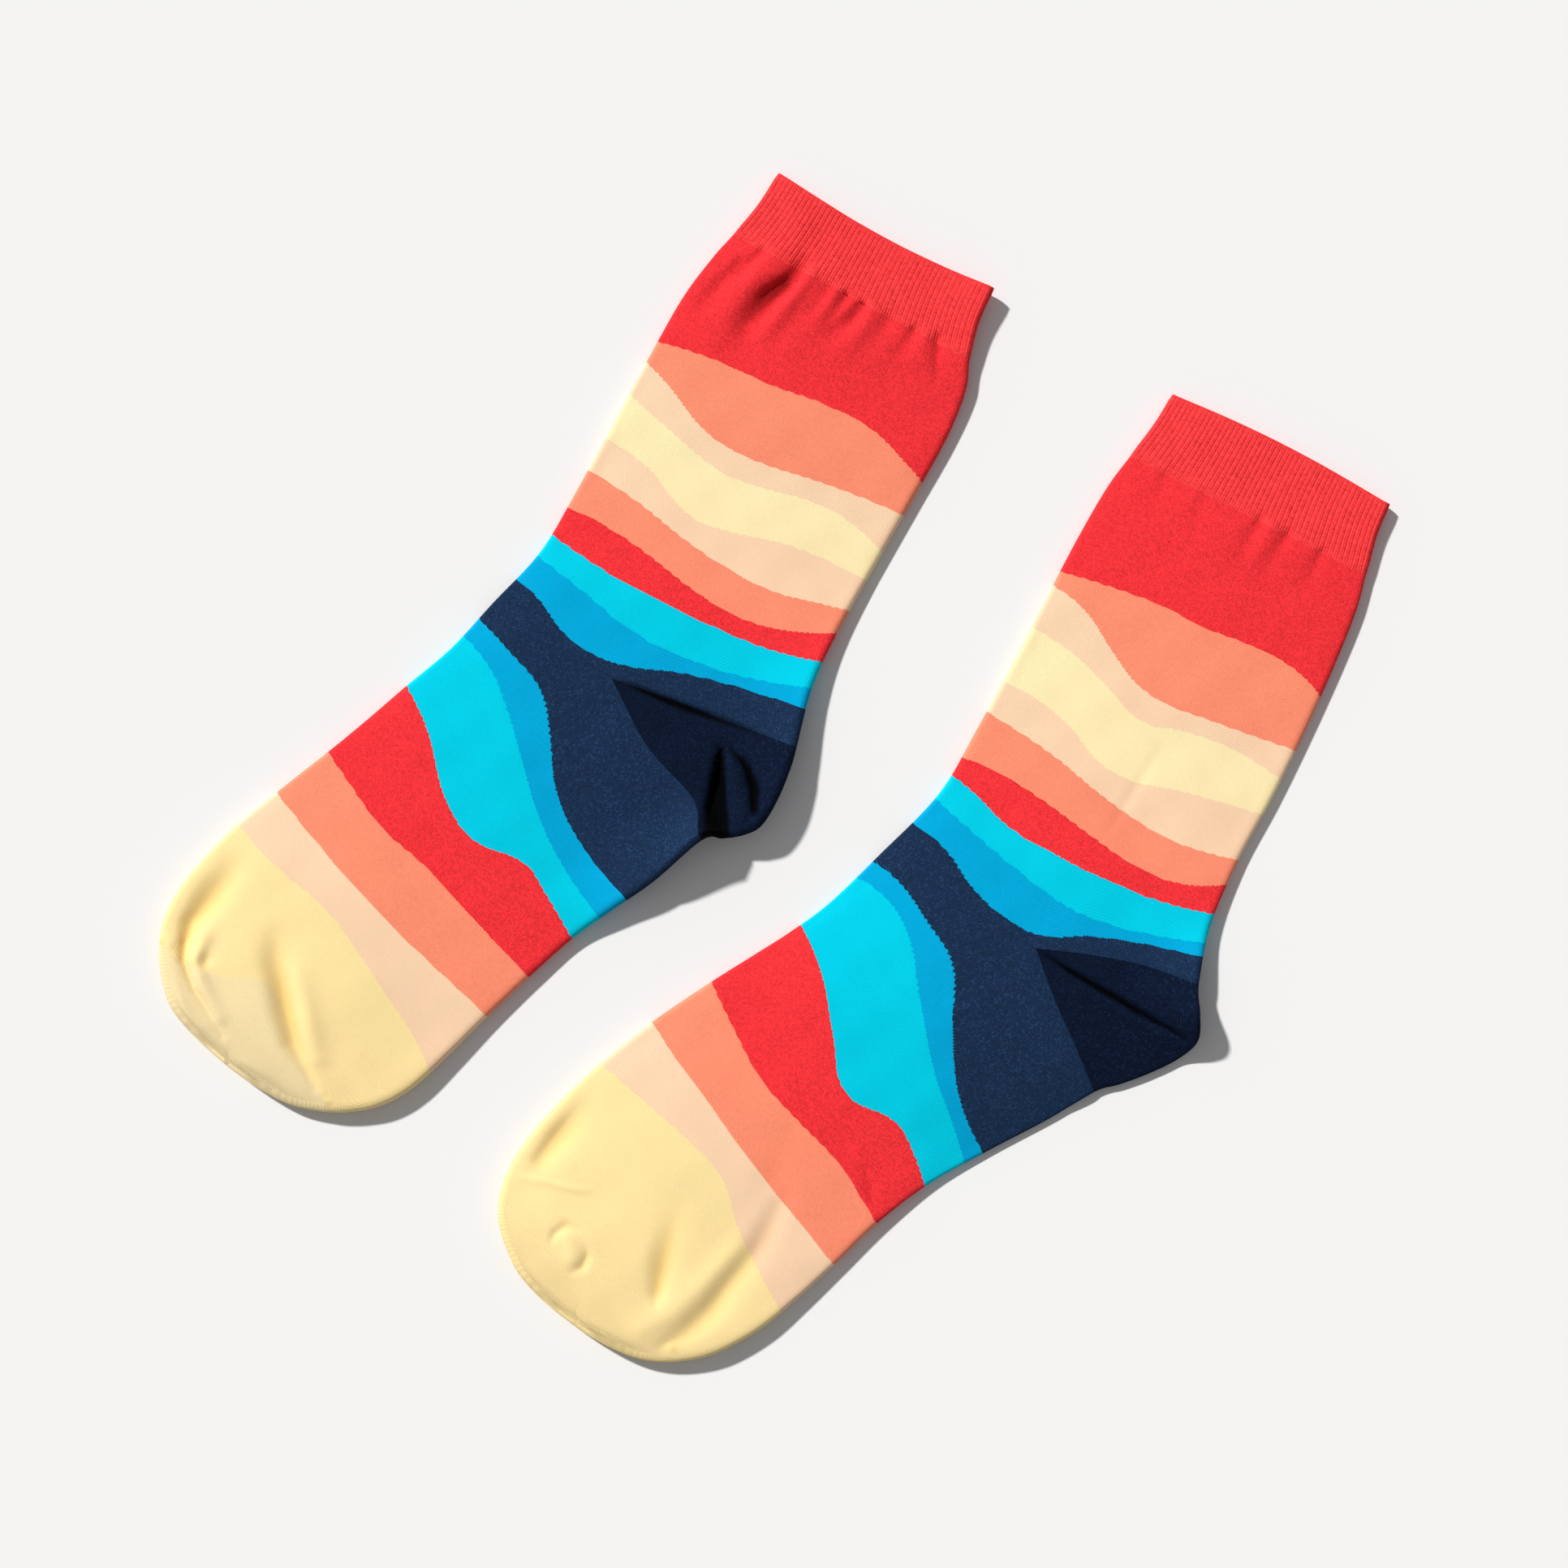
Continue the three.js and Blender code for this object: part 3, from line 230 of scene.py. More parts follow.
RIGHT_SOCK = {
    "side": "right",
    "place": (98.0, -10.5, 0.9),
    "sections": table(SECTION, [
        ("cuff_top", -40.3, 185.6, 40.3, 184.8, 0.48, 1.6, 2.2, 1, 0, 1),
        ("cuff_mid", -41.3, 174, 41, 174, 0.48, 0.6, 2.2, 1.1, 0, 0.8),
        ("cuff_end", -43.8, 160.6, 43.8, 160.4, 0.48, 0, 2.2, 1.4, 0, 0.5),
        ("flare", -46, 148, 46.3, 148, 0.48, 0, 2.2, 1.5, 0, 0.3),
        ("leg_top", -47.2, 128, 48, 128, 0.48, 0, 2.2, 1, 0, 0.1),
        ("leg_high", -47.6, 104, 49, 104, 0.48, 0, 2.2, 0.8, 0, 0),
        ("leg_mid", -48, 80, 49.2, 80, 0.48, 0, 2.2, 0.8, 0, 0),
        ("leg_low", -48.7, 56, 48.4, 56, 0.48, 0, 2.2, 1, 0, 0.2),
        ("ankle", -50.4, 32, 49.6, 33, 0.48, 0, 2.3, 1.8, 0, 1.6),
        ("gore", -59, 5, 54.2, 14.3, 0.5, 0, 1.6, 4.4, 0, 6),
        ("foot_a", -66.7, -16.7, 30, -49, 0.47, 0, 1.3, 4.6, 0, 0),
        ("foot_b", -74, -31, 17, -67, 0.47, 0, 1.4, 4, 0, 0),
        ("foot_c", -81.5, -43.5, 5, -84.5, 0.47, 0, 1.8, 3, 0, 0.2),
        ("foot_d", -90, -57.5, -4.5, -103.5, 0.47, 0, 2.4, 1.8, 0, 0.4),
        ("foot_e", -102, -79, -11.5, -123, 0.47, 0, 2.5, 2.2, 0, 0.6),
        ("foot_f", -112, -101, -17.5, -138.5, 0.47, 0, 2.7, 2.8, 0.2, 0.9),
        ("toe_start", -119.6, -124, -24, -153, 0.47, 0, 2.9, 3.2, 0.5, 1.3),
        ("toe_a", -122.4, -142, -33, -166, 0.47, 0, 3, 3.4, 0.9, 1.6),
        ("toe_b", -119, -157.5, -42.5, -174, 0.47, 0, 3, 3.2, 1.2, 1.8),
        ("toe_c", -108, -169.5, -53, -179, 0.47, 0, 3, 2.6, 1.4, 1.9),
        ("toe_d", -96.5, -175.5, -64.5, -180.6, 0.47, 0, 3, 2, 1.6, 1.8),
        ("tip", -80, -179.4, -80, -179.4, 0.5, 0, 3, 0, 1.7, 1.7),
    ]),
    "pocket": table(POCKET, [
        (58.3, 5.6, 4, 11.6),
        (62.4, -2.6, 4.4, 6.2),
        (60.2, -10.8, 4.2, 0.4),
        (53.5, -19.8, 3.8, 0),
        (46.4, -27.4, 3.8, 0),
    ]),
    "apex": (0.8, 0.8),
    "leg_seam": ((18.2, 7.0), (35.8, 11.8)),
    "foot_seam": ((14.2, -11.8), (27.4, -22.6)),
    "foot_seam_end": (40.2, -33.2),
    "foot_seam_lift": -6.0,
    "folds": lines(
            gather_a=[(4, 161, 3, -0.8), (3.6, 155, 4, -0.4), (3, 145, 7, -0.2)],
            gather_b=[(14.4, 160.5, 3, -0.9), (13.4, 154, 4.4, -0.5), (12, 142, 8, -0.2)],
            gather_side=[(9, 161, 4, 0.6), (8.4, 150, 7, 0.5)],
            gather_c=[(-16, 160.5, 4, -0.4), (-16, 149, 6, -0.2)],
            gather_d=[(27, 160, 3, -0.8), (26.6, 149, 6, -0.2)],
            gather_e=[(-30, 160.5, 4, -0.5), (-31, 150, 6, -0.2)],
            leg=[(8.4, 80, 3, -0.1), (6.6, 60, 3, -0.4), (5, 44, 3, -0.1)],
            gore=[
                (3, 0.4, 1.4, -0.3), (15.1, -1, 2.2, -1.1), (28.4, -1.9, 2.4, -1.5),
                (39.5, -2.7, 2.4, -1.7), (60, -3.6, 2, -1),
            ],
            gore_side=[(20, -4.6, 4, 0.5), (52, -6.6, 5, 0.9)],
            toe_front=[
                (-109.6, -116, 10, -0.8), (-112.3, -126, 9, -2.4), (-114.2, -135, 7, -1.5),
                (-115, -139, 6, -0.3),
            ],
            toe_seam=[
                (-118.4, -143.8, 1.8, 0.4), (-109.6, -141, 1.8, 0.6), (-99.7, -138.6, 1.8, 0.6),
                (-93.9, -136.2, 1.8, 0.3),
            ],
            curl=[(-94, -153.8, 5, 0.4), (-90.4, -159, 5, 0.6)],
            curl_front=[
                (-99, -158.4, 2, -0.1), (-99, -154.6, 2.6, -0.8), (-97, -150.6, 2.6, -0.7),
                (-92.5, -149.6, 2.2, -0.4),
            ],
            curl_back=[
                (-88.6, -153.6, 2, -0.1), (-86, -156.6, 2.8, -0.9), (-86, -160.4, 2.8, -1),
                (-88.4, -163.4, 2.2, -0.2),
            ],
            toe_mid=[
                (-66.8, -130, 9, -0.2), (-64.8, -139, 9, -1), (-62.4, -149, 8, -1.6), (-60, -157, 5, -1.3),
                (-58.8, -161, 3, -0.3),
            ],
            toe_back=[
                (-36.7, -112, 7, -0.6), (-36.6, -128, 8, -1.3), (-39.8, -142.6, 8, -1.6),
                (-41.9, -155, 8, -1.8), (-46.4, -166, 8, -1.3), (-50, -172, 5, -0.7),
            ],
            toe_back_side=[
                (-43, -133, 7, 0.6), (-47, -147, 9, 1.1), (-52, -160, 10, 1.1), (-59, -170, 8, 0.6),
            ],
            sole=[(-17, -90, 2.8, -0.4), (-12, -96, 2.8, -0.7), (-6, -103, 2.6, -0.3)],
            coral=[(-44, -90, 10, -0.4), (-44, -108, 10, -0.5)],
            small_knot=[(-47.6, -171, 2.4, 0.6), (-46.6, -171.4, 2.4, 0.6)],
    ),
    # Painted shade: dark lines along the heel's crease and the toe's middle crease
    "painted_shade_lines": lines(
            crease=[
                (5, 0.2, 1.1, 0.3), (15.1, -1, 1.5, 1), (28.4, -1.9, 1.6, 1.3), (39.5, -2.7, 1.6, 1.3),
                (58, -3.6, 1.3, 0.5),
            ],
            toe_mid=[
                (-66, -135, 3.6, 0.1), (-64.2, -143, 4.6, 0.28), (-62.4, -150, 4.6, 0.4),
                (-60.4, -156, 3.4, 0.4), (-59.4, -159.6, 2, 0.1),
            ],
    ),
    # Spots of painted shade: a small spot near the toe seam, the toe's curl and a small knot
    "painted_shade_spots": table(SPOT, [
        (-102.4, -132.2, 1.8, 0.3),
        (-92.8, -154.2, 2, 0.2),
        (-47, -171.2, 2.4, 0.6),
    ]),
    "bands": table(BAND, [
        ("coral", -49, 115.8, -30, 119, -10, 121, 2, 120.6, 22, 122.4, 38, 121.4, 50, 116.5),
        ("peach", -49, 111.2, -34, 108, -20, 100, -8, 94, 2, 92.5, 20, 94.2, 50, 98),
        ("yellow", -49, 95.6, -30, 93.3, -18, 89.4, 0, 83.7, 12, 86.8, 30, 88.8, 50, 86.8),
        ("peach", -50, 74.8, -38, 75, -22, 71.6, -8, 65.4, 2, 64.2, 20, 68.6, 50, 74.2),
        ("coral", -50, 63.7, -22, 60.4, -4, 56.2, 12, 53.6, 24, 52.8, 36, 54.2, 50, 57.5),
        ("red", -51, 46.3, -36, 47.2, -20, 45.8, 0, 42.4, 16, 40.1, 32, 40.8, 50, 49),
        ("cyan", -51, 40, -40, 37.6, -26, 33, -10, 31.4, 10, 31.4, 30, 33, 50, 37.6),
        ("blue", -52, 30.6, -34, 25.6, -14, 20.8, 4, 17.8, 18, 18.6, 34, 22.2, 51, 27.8),
        ("navy", -55, 19.8, -40, 16.5, -26, 9, -12, 5.2, 0, 5.2, 16, 12.7, 53, 23.2),
        ("blue", -62, 2.6, -50, 0.4, -34, -8, -22, -15.5, -12, -34.5, 0, -54, 18, -69),
        ("cyan", -65, -5, -52, -6.2, -40, -13, -26, -31, -10, -51.5, 2, -63, 14, -75.5),
        ("red", -76, -24.5, -60, -37, -46, -55, -34, -70, -14, -71.8, -4, -78.6, 6, -89),
        ("coral", -94, -54, -78, -66.6, -60, -79, -44, -85.4, -26, -91.8, -12, -100, 0, -108),
        ("peach", -106, -76, -88, -85.6, -66, -97, -46, -107, -30, -114.5, -18, -120, -6, -125),
        ("toe", -114, -97, -92, -102.6, -72, -107.8, -58, -113.4, -46, -125.6, -34, -135, -18, -146),
    ]),
}

# Yarn colours, red green blue from 0 to 255
YARN = {
    "cuff": (234, 57, 60),
    "red": (233, 50, 56),
    "coral": (244, 138, 108),
    "peach": (241, 203, 169),
    "yellow": (245, 224, 174),
    "toe": (243, 217, 156),
    # Painted light: a paler, greyer tint for the toe's end beyond its seam, where the under panel wraps over
    "tip": (238, 216, 166),
    "cyan": (0, 194, 219),
    "blue": (0, 158, 206),
    "navy": (24, 44, 72),
    "heel": (10, 21, 42),
}

# Painted shade: what a yarn's colour is multiplied by in the deepest folds, creases and pleats, for pale, deep
# and dark yarns
PALE_SHADE_TINT = (0.92, 0.80, 0.54, 1.0)
DEEP_SHADE_TINT = (0.24, 0.12, 0.16, 1.0)
DARK_SHADE_TINT = (0.02, 0.02, 0.02, 1.0)

# How much lighter and darker a deep colour gets: by stitch, by strand, by the stitch's relief round its middle
# height (painted shade low between the stitch's legs and painted light on them), and by patch
STITCH_TONE = 0.14
STRAND_TONE = 0.50
RELIEF_SHADE_TONE, RELIEF_MIDDLE = 0.60, 0.29
PATCH_TONE = 0.08
PALE_SHARE = 0.08  # of the first three that a pale colour shows
DEEP_POWER = 6.0  # how sharply deep colours are told from pale ones
DARK_POWER = 12.0  # and dark ones from the rest
SPECK_LEVEL = 0.88  # the random number above which a strand of a dark yarn is lighter
SPECK_GAIN = 0.8  # and how much lighter
STITCH_LOOSE = 0.25  # how far a stitch's colour strays from its place, in courses
STITCH_STEP = 0.6  # how far a band's edge goes by whole stitches: 0 smooth, 1 all the way

STITCH_DEPTH = 0.25  # millimetres of relief
STITCH_DIP = 0.25  # how far a stitch is lower at its ends
RELIEF_STRENGTH = 0.6
FIBRE_RELIEF = 0.3
FIBRE_SCALE, PATCH_SCALE = 2400, 70
ROUGHNESS, SPECULAR = 0.9, 0.05

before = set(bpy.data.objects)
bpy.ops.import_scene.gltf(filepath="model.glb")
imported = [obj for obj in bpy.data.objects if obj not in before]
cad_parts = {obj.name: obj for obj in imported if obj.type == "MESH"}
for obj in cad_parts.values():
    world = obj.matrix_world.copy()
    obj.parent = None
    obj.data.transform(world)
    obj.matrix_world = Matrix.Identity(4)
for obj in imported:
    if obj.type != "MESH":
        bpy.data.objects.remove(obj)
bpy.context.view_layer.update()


# Curves

def along(values, place):
    """Values of the smooth curve through a list at places counted in list steps."""
    values = np.asarray(values, float)
    place = np.asarray(place, float)
    flat = values.ndim == 1
    if flat:
        values = values[:, None]
    ends = (2 * values[:1] - values[1:2], 2 * values[-1:] - values[-2:-1])
    padded = np.concatenate([ends[0], values, ends[1]])
    i = np.clip(np.floor(place).astype(int), 0, len(values) - 2)
    t = (place - i)[..., None]
    a, b, c, d = (padded[i + k] for k in range(4))
    bend = (2 * a - 5 * b + 4 * c - d) * t + (3 * b - a - 3 * c + d) * t * t
    found = b + 0.5 * t * (c - a + bend)
    return found[..., 0] if flat else found


def pace(points, place):
    """How far the curve goes in one list step at a place, along x and y."""
    low = np.maximum(place - PACE_REACH, 0)
    high = np.minimum(place + PACE_REACH, len(points) - 1)
    return (along(points, high) - along(points, low)) / (high - low)[..., None]


def unit(vectors):
    return vectors / np.linalg.norm(vectors, axis=-1, keepdims=True)


def turn_left(vectors):
    return np.stack([-vectors[..., 1], vectors[..., 0]], -1)


def cross(a, b):
    return a[..., 0] * b[..., 1] - a[..., 1] * b[..., 0]


def mix(a, b, t):
    return a + (b - a) * t


# Courses of the knit

def section_index(sock, name):
    return [s["name"] for s in sock["sections"]].index(name)


def edges_of(sock):
    """The front and back fold edges from the cuff to the toe and on round the tip."""
    front = [(s["frontX"], s["frontY"]) for s in sock["sections"]]
    back = [(s["backX"], s["backY"]) for s in sock["sections"]]
    gore = section_index(sock, "gore")
    heel = [(p["backX"], p["backY"]) for p in sock["pocket"]] + [sock["foot_seam_end"]]
    back[gore + 1:gore + 1] = heel
    past_front = front + back[-3:-1][::-1]
    past_back = back + front[-3:-1][::-1]
    return np.array(past_front), np.array(past_back), gore, len(heel)


def edge_core(edge, place, inward, radius):
    """The direction into the cloth and the core of the fold edge's rounding."""
    way = inward * turn_left(unit(pace(edge, place)))
    return way, along(edge, place) + way * radius[..., None]


def courses_at(sock, place, below_gore):
    """Courses across the tube at places counted in sections."""
    place = np.asarray(place, float)
    front, back, gore, skipped = edges_of(sock)

    def value(name, at=place):
        return along([s[name] for s in sock["sections"]], at)

    past_pocket = skipped if below_gore else 0
    radius = value("round")
    toe, tip = section_index(sock, "toe_start"), len(sock["sections"]) - 1
    front_radius = radius * mix(FRONT_ROUND, 1, np.clip((place - toe) / (tip - toe), 0, 1))
    front_radius = np.maximum(front_radius, LEAST_ROUND)
    front_in, front_core = edge_core(front, place, 1, front_radius)
    back_in, back_core = edge_core(back, place + past_pocket, -1, radius)
    at_gore = np.array([float(gore)])
    seam_end = edge_core(back, at_gore + past_pocket, -1, value("round", at_gore))[1][0]
    near_gore = np.maximum(0, 1 - np.abs(place - gore))[:, None]
    apex = np.array(sock["apex"])
    between = mix(front_core, back_core, value("centre")[:, None])
    centre = mix(between, apex, near_gore)
    via = []
    for i, point in enumerate(sock["foot_seam" if below_gore else "leg_seam"]):
        third = (i + 1) / 3
        bend = np.array(point) - mix(apex, seam_end, third)
        via.append(mix(centre, back_core, third) + bend * near_gore)
    lift_front = np.maximum(0, value("liftFront"))
    lift_back = np.maximum(0, value("liftBack"))
    seam_lift = sock["foot_seam_lift"] * near_gore[:, 0] if below_gore else 0
    return {
        "front_in": front_in,
        "back_in": back_in,
        "front_core": front_core,
        "back_core": back_core,
        "path": np.stack([centre, *via, back_core]),
        "bow": value("bow"),
        "round_front": front_radius,
        "round_middle": 0.5 * (front_radius + radius),
        "round_back": radius,
        "loft": value("loft"),
        "centre_loft": value("loft"),
        "lift_front": lift_front,
        "middle_lift": 0.5 * (lift_front + lift_back),
        "lift_back": np.maximum(0, lift_back + seam_lift),
    }


def pocket_courses(sock, rows):
    """The heel pocket's courses, which fan out from the apex between its two seams."""
    back, gore, skipped = edges_of(sock)[1:]
    at_gore = np.array([float(gore)])
    leg, foot = courses_at(sock, at_gore, False), courses_at(sock, at_gore, True)
    start = gore + SEAM_GAP / np.linalg.norm(pace(back, at_gore))
    end = gore + skipped - SEAM_GAP / np.linalg.norm(pace(back, at_gore + skipped))
    ways = [unit(pace(course["path"][:, 0], np.zeros(1)))[0] for course in (leg, foot)]
    middle = unit(ways[0] + ways[1])
    apex = np.array(sock["apex"]) + middle * SEAM_GAP / abs(cross(ways[0], middle))

    def inset(course, side):
        path = course["path"][:, 0]
        ways = turn_left(unit(pace(path, np.array([1.0, 2.0]))))
        return path[1:3] + side * SEAM_GAP * ways

    leg_via, foot_via = inset(leg, -1), inset(foot, 1)
    share = np.linspace(0, 1, rows)
    place = mix(start, end, share)
    back_point = along(back, place)
    bulge = back_point - mix(back_point[0], back_point[-1], share[:, None])
    radius = np.full(rows, leg["round_back"][0])
    back_in, back_core = edge_core(back, place, -1, radius)
    via = [
        mix(leg_via[k], foot_via[k], share[:, None]) + bulge * ((k + 1) / 3) ** 2
        for k in range(2)
    ]

    def value(name, key):
        ends = (leg[key][0], foot[key][0])
        return along([ends[0], *(p[name] for p in sock["pocket"]), ends[1]], place - gore)

    same = ("front_in", "front_core", "bow", "round_front", "round_middle", "lift_front", "middle_lift")
    spread = {key: np.repeat(leg[key], rows, axis=0) for key in same}
    return {
        **spread,
        "back_in": back_in,
        "back_core": back_core,
        "path": np.stack([np.tile(apex, (rows, 1)), *via, back_core]),
        "round_back": radius,
        "loft": value("loft", "loft"),
        "centre_loft": np.repeat(leg["centre_loft"], rows),
        "lift_back": np.maximum(0, value("liftBack", "lift_back")),
    }


# The tube's surface

def line_height(points, x, y):
    """The height that one line gives at plan points, each from the part of the line that gives most."""
    found = 0 * x
    for a, b in zip(points, points[1:]):
        run = np.array([b["x"] - a["x"], b["y"] - a["y"]])
        t = np.clip(((x - a["x"]) * run[0] + (y - a["y"]) * run[1]) / (run @ run), 0, 1)
        away = np.hypot(x - a["x"] - t * run[0], y - a["y"] - t * run[1])
        reach = 0.5 * mix(a["width"], b["width"], t)
        height = mix(a["height"], b["height"], t) * np.exp(-((away / reach) ** 2))
        found = np.where(np.abs(height) > np.abs(found), height, found)
    return found


def heights(named_lines, x, y):
    return sum(line_height(points, x, y) for points in named_lines.values())


def fold_height(sock, x, y):
    """Height of the ridges and troughs at plan points, with the cloth's slight unevenness."""
    uneven = sum(
        size * np.sin(2 * math.pi * (x * math.cos(way) + y * math.sin(way)) / length + start)
        for size, length, way, start in UNEVEN
    )
    return heights(sock["folds"], x, y) + uneven


def ring_places(**steps):
    """The columns of a ring: each one's part of the ring and its share of the way along that part."""
    return [(part, i / count) for part, count in steps.items() for i in range(count)]


def whole_ring(top, arc, under):
    return ring_places(
        top_back=top, arc_back=arc, under_back=under, under_front=under, arc_front=arc, top_front=top
    )


def tube_column(sock, courses, wall, part, t, rib):
    """One column of the tube: the outer and inner points of every course at a place on the ring, the
    plan point, and the place across the tube from 0 at its front edge to 1 at its back edge. rib gives
    the relief of the outer face at such a place."""
    is_front = part.endswith("front")
    lift = courses["lift_front" if is_front else "lift_back"]
    radius = courses["round_front" if is_front else "round_back"]
    path = courses["path"]
    core = courses["front_core" if is_front else "back_core"]
    front_width = np.linalg.norm(courses["front_core"] - path[0], axis=-1)
    back_width = np.linalg.norm(path[3] - path[0], axis=-1)
    width = np.maximum(front_width + back_width, LEAST_WIDTH)
    if part.startswith("arc"):
        outward = -courses["front_in" if is_front else "back_in"]
        angle = math.pi * (t - 0.5 if is_front else 0.5 - t)
        past = 0.5 * math.pi * radius * (1 - abs(angle) / (0.5 * math.pi)) / width
        past = np.minimum(past, MOST_PAST)
        across = -past if is_front else 1 + past
        relief = rib(across)
        above = min(1, max(0, 1 + math.sin(angle)))

        def at(reach):
            plan = core + outward * (reach * math.cos(angle))[:, None]
            return np.column_stack([plan, lift + radius + reach * math.sin(angle)])

        outer = at(radius + relief * above)
        return outer, at(radius - wall), outer[:, :2], across
    share = 1 - t if part in ("top_front", "under_back") else t
    if is_front:
        plan = mix(path[0], core, share)
        across = front_width * (1 - share) / width
    else:
        plan = along(path, np.array(3.0 * share))
        across = (front_width + back_width * share) / width
    up = turn_left(courses["back_core"] - courses["front_core"])
    plan = plan + up * (courses["bow"] / width * np.sin(math.pi * across))[:, None]
    from_edge = (1 - share) * (front_width if is_front else back_width)
    raised = np.maximum(0, 1 - from_edge / LIFT_REACH) ** 2
    under = mix(courses["middle_lift"], lift, share) * raised
    if part.startswith("under"):
        return np.column_stack([plan, under]), np.column_stack([plan, under + wall]), plan, across
    crown = mix(courses["centre_loft"], courses["loft"], share) * (1 - share**CROWN_POWER)
    fold = fold_height(sock, plan[:, 0], plan[:, 1])
    fold = fold * np.minimum(1, from_edge / (2 * radius))
    least = under + 2 * wall + PANEL_AIR
    thick = 2 * mix(courses["round_middle"], radius, share)
    top = np.maximum(under + thick + crown + fold, least)
    return np.column_stack([plan, top + rib(across)]), np.column_stack([plan, top - wall]), plan, across


def tube_grid(sock, courses, wall, ring, rib):
    """Grids of outer points, inner points, plan points and places across, with a row for each course."""
    columns = [tube_column(sock, courses, wall, part, t, rib) for part, t in ring]
    return [np.stack(kind, axis=1) for kind in zip(*columns)]


def plain(across):
    return np.zeros_like(across)


def ribs_of(courses):
    """The ribs' relief, which starts from nothing at the cuff's top edge and ends above its lower one."""
    middle = 0.5 * (courses["front_core"] + courses["back_core"])
    below = np.linalg.norm(middle - middle[0], axis=1)
    above = np.linalg.norm(middle - middle[-1], axis=1)
    fade = np.minimum(1, below / RIB_START) * np.minimum(1, above / RIB_END)
    return lambda across: RIB_HEIGHT * fade * np.abs(np.sin(math.pi * across * RIBS)) ** RIB_POWER


def places_between(sock, start, end, below_gore, step):
    """Places from one section to another, about one step apart at the faster fold edge."""
    front, back, gore, skipped = edges_of(sock)
    fine = np.linspace(start, end, LENGTH_SAMPLES)
    paces = [pace(front, fine), pace(back, fine + (skipped if below_gore else 0))]
    speed = np.max([np.linalg.norm(p, axis=-1) for p in paces], axis=0)
    length = np.concatenate([[0], np.cumsum(0.5 * (speed[1:] + speed[:-1]) * np.diff(fine))])
    count = max(2, math.ceil(length[-1] / step) + 1)
    return np.interp(np.linspace(0, length[-1], count), length, fine)


def course_numbers(courses, first):
    """How many stitches each course lies along the tube, counted at the tube's middle."""
    middle = 0.5 * (courses["front_core"] + courses["back_core"])
    steps = np.linalg.norm(np.diff(middle, axis=0), axis=1)
    return first + np.concatenate([[0], np.cumsum(steps)]) / COURSE_PITCH


# Meshes

class Shell:
    """A closed shell of cloth from grids of points: outer faces, inner faces and rims."""

    def __init__(self):
        self.points, self.faces, self.plan, self.stitch = [], [], [], []
        self.wale_step, self.course_step, self.painted_shade = [], [], []
        self.count = 0

    def add(self, grid, course, wales, is_ring, deep):
        """Adds grids of the tube. course numbers the rows, wales counts the stitches of one face, and deep gives
        the painted shade at plan points."""
        outer, inner, plan, across = grid
        rows, columns = across.shape
        wale = wales * across
        stitch = np.stack([wale, np.broadcast_to(course[:, None], wale.shape)], -1)
        course_step = np.gradient(plan, course, axis=0)
        wide = plan[:, np.argmax(across[0])] - plan[:, np.argmin(across[0])]
        wale_step = np.repeat((wide / wales / np.ptp(across[0]))[:, None], columns, axis=1)
        # The painted shade at each point, kept with the mesh
        painted_shade = deep(plan[..., 0], plan[..., 1])
        index = self.count + np.arange(rows * columns).reshape(rows, columns)
        inside = index + rows * columns
        for points in (outer, inner):
            self.points.append(points.reshape(-1, 3))
            for store, values in ((self.plan, plan), (self.stitch, stitch),
                                  (self.wale_step, wale_step), (self.course_step, course_step)):
                store.append(values.reshape(-1, 2))
            self.painted_shade.append(painted_shade.ravel())
        self.count += 2 * rows * columns
        last = columns if is_ring else columns - 1
        here = np.arange(last)
        there = (here + 1) % columns
        for i in range(rows - 1):
            self.quads(index[i, here], index[i + 1, here], index[i + 1, there], index[i, there])
            self.quads(inside[i, there], inside[i + 1, there], inside[i + 1, here], inside[i, here])
        return index, inside

    def quads(self, a, b, c, d):
        self.faces.append(np.column_stack([a, b, c, d]))

    def rim(self, outer, inner, forward):
        """Closes the wall between a line of outer points and its line of inner points."""
        a, b, c, d = outer[:-1], outer[1:], inner[1:], inner[:-1]
        if forward:
            self.quads(a, b, c, d)
        else:
            self.quads(d, c, b, a)

    def build(self, sock, name):
        """The mesh object, turned and moved to its sock's place in the pair."""
        x, y, turn = sock["place"]
        cos, sin = math.cos(math.radians(turn)), math.sin(math.radians(turn))
        points = np.concatenate(self.points)
        placed = np.column_stack([
            points[:, 0] * cos - points[:, 1] * sin + x + PLAN_ORIGIN[0],
            points[:, 0] * sin + points[:, 1] * cos + y + PLAN_ORIGIN[1],
            points[:, 2],
        ]) * MM
        mesh = bpy.data.meshes.new(name)
        mesh.from_pydata(placed.tolist(), [], np.concatenate(self.faces).tolist())
        for key, values in (("plan", self.plan), ("stitch", self.stitch),
                            ("wale_step", self.wale_step), ("course_step", self.course_step)):
            pairs = np.concatenate(values)
            attribute = mesh.attributes.new(key, "FLOAT_VECTOR", "POINT")
            vectors = np.column_stack([pairs, np.zeros(len(pairs))])
            attribute.data.foreach_set("vector", vectors.astype(np.float32).ravel())
        attribute = mesh.attributes.new("painted_shade", "FLOAT", "POINT")
        attribute.data.foreach_set("value", np.concatenate(self.painted_shade).astype(np.float32))
        work = bmesh.new()
        work.from_mesh(mesh)
        bmesh.ops.remove_doubles(work, verts=work.verts, dist=MERGE_REACH)
        bmesh.ops.dissolve_degenerate(work, edges=work.edges, dist=LEAST_EDGE)
        bmesh.ops.recalc_face_normals(work, faces=work.faces)
        work.to_mesh(mesh)
        work.free()
        mesh.shade_smooth()
        mesh.set_sharp_from_angle(angle=SHARP_ANGLE)
        piece = bpy.data.objects.new(name, mesh)
        bpy.context.scene.collection.objects.link(piece)
        return piece


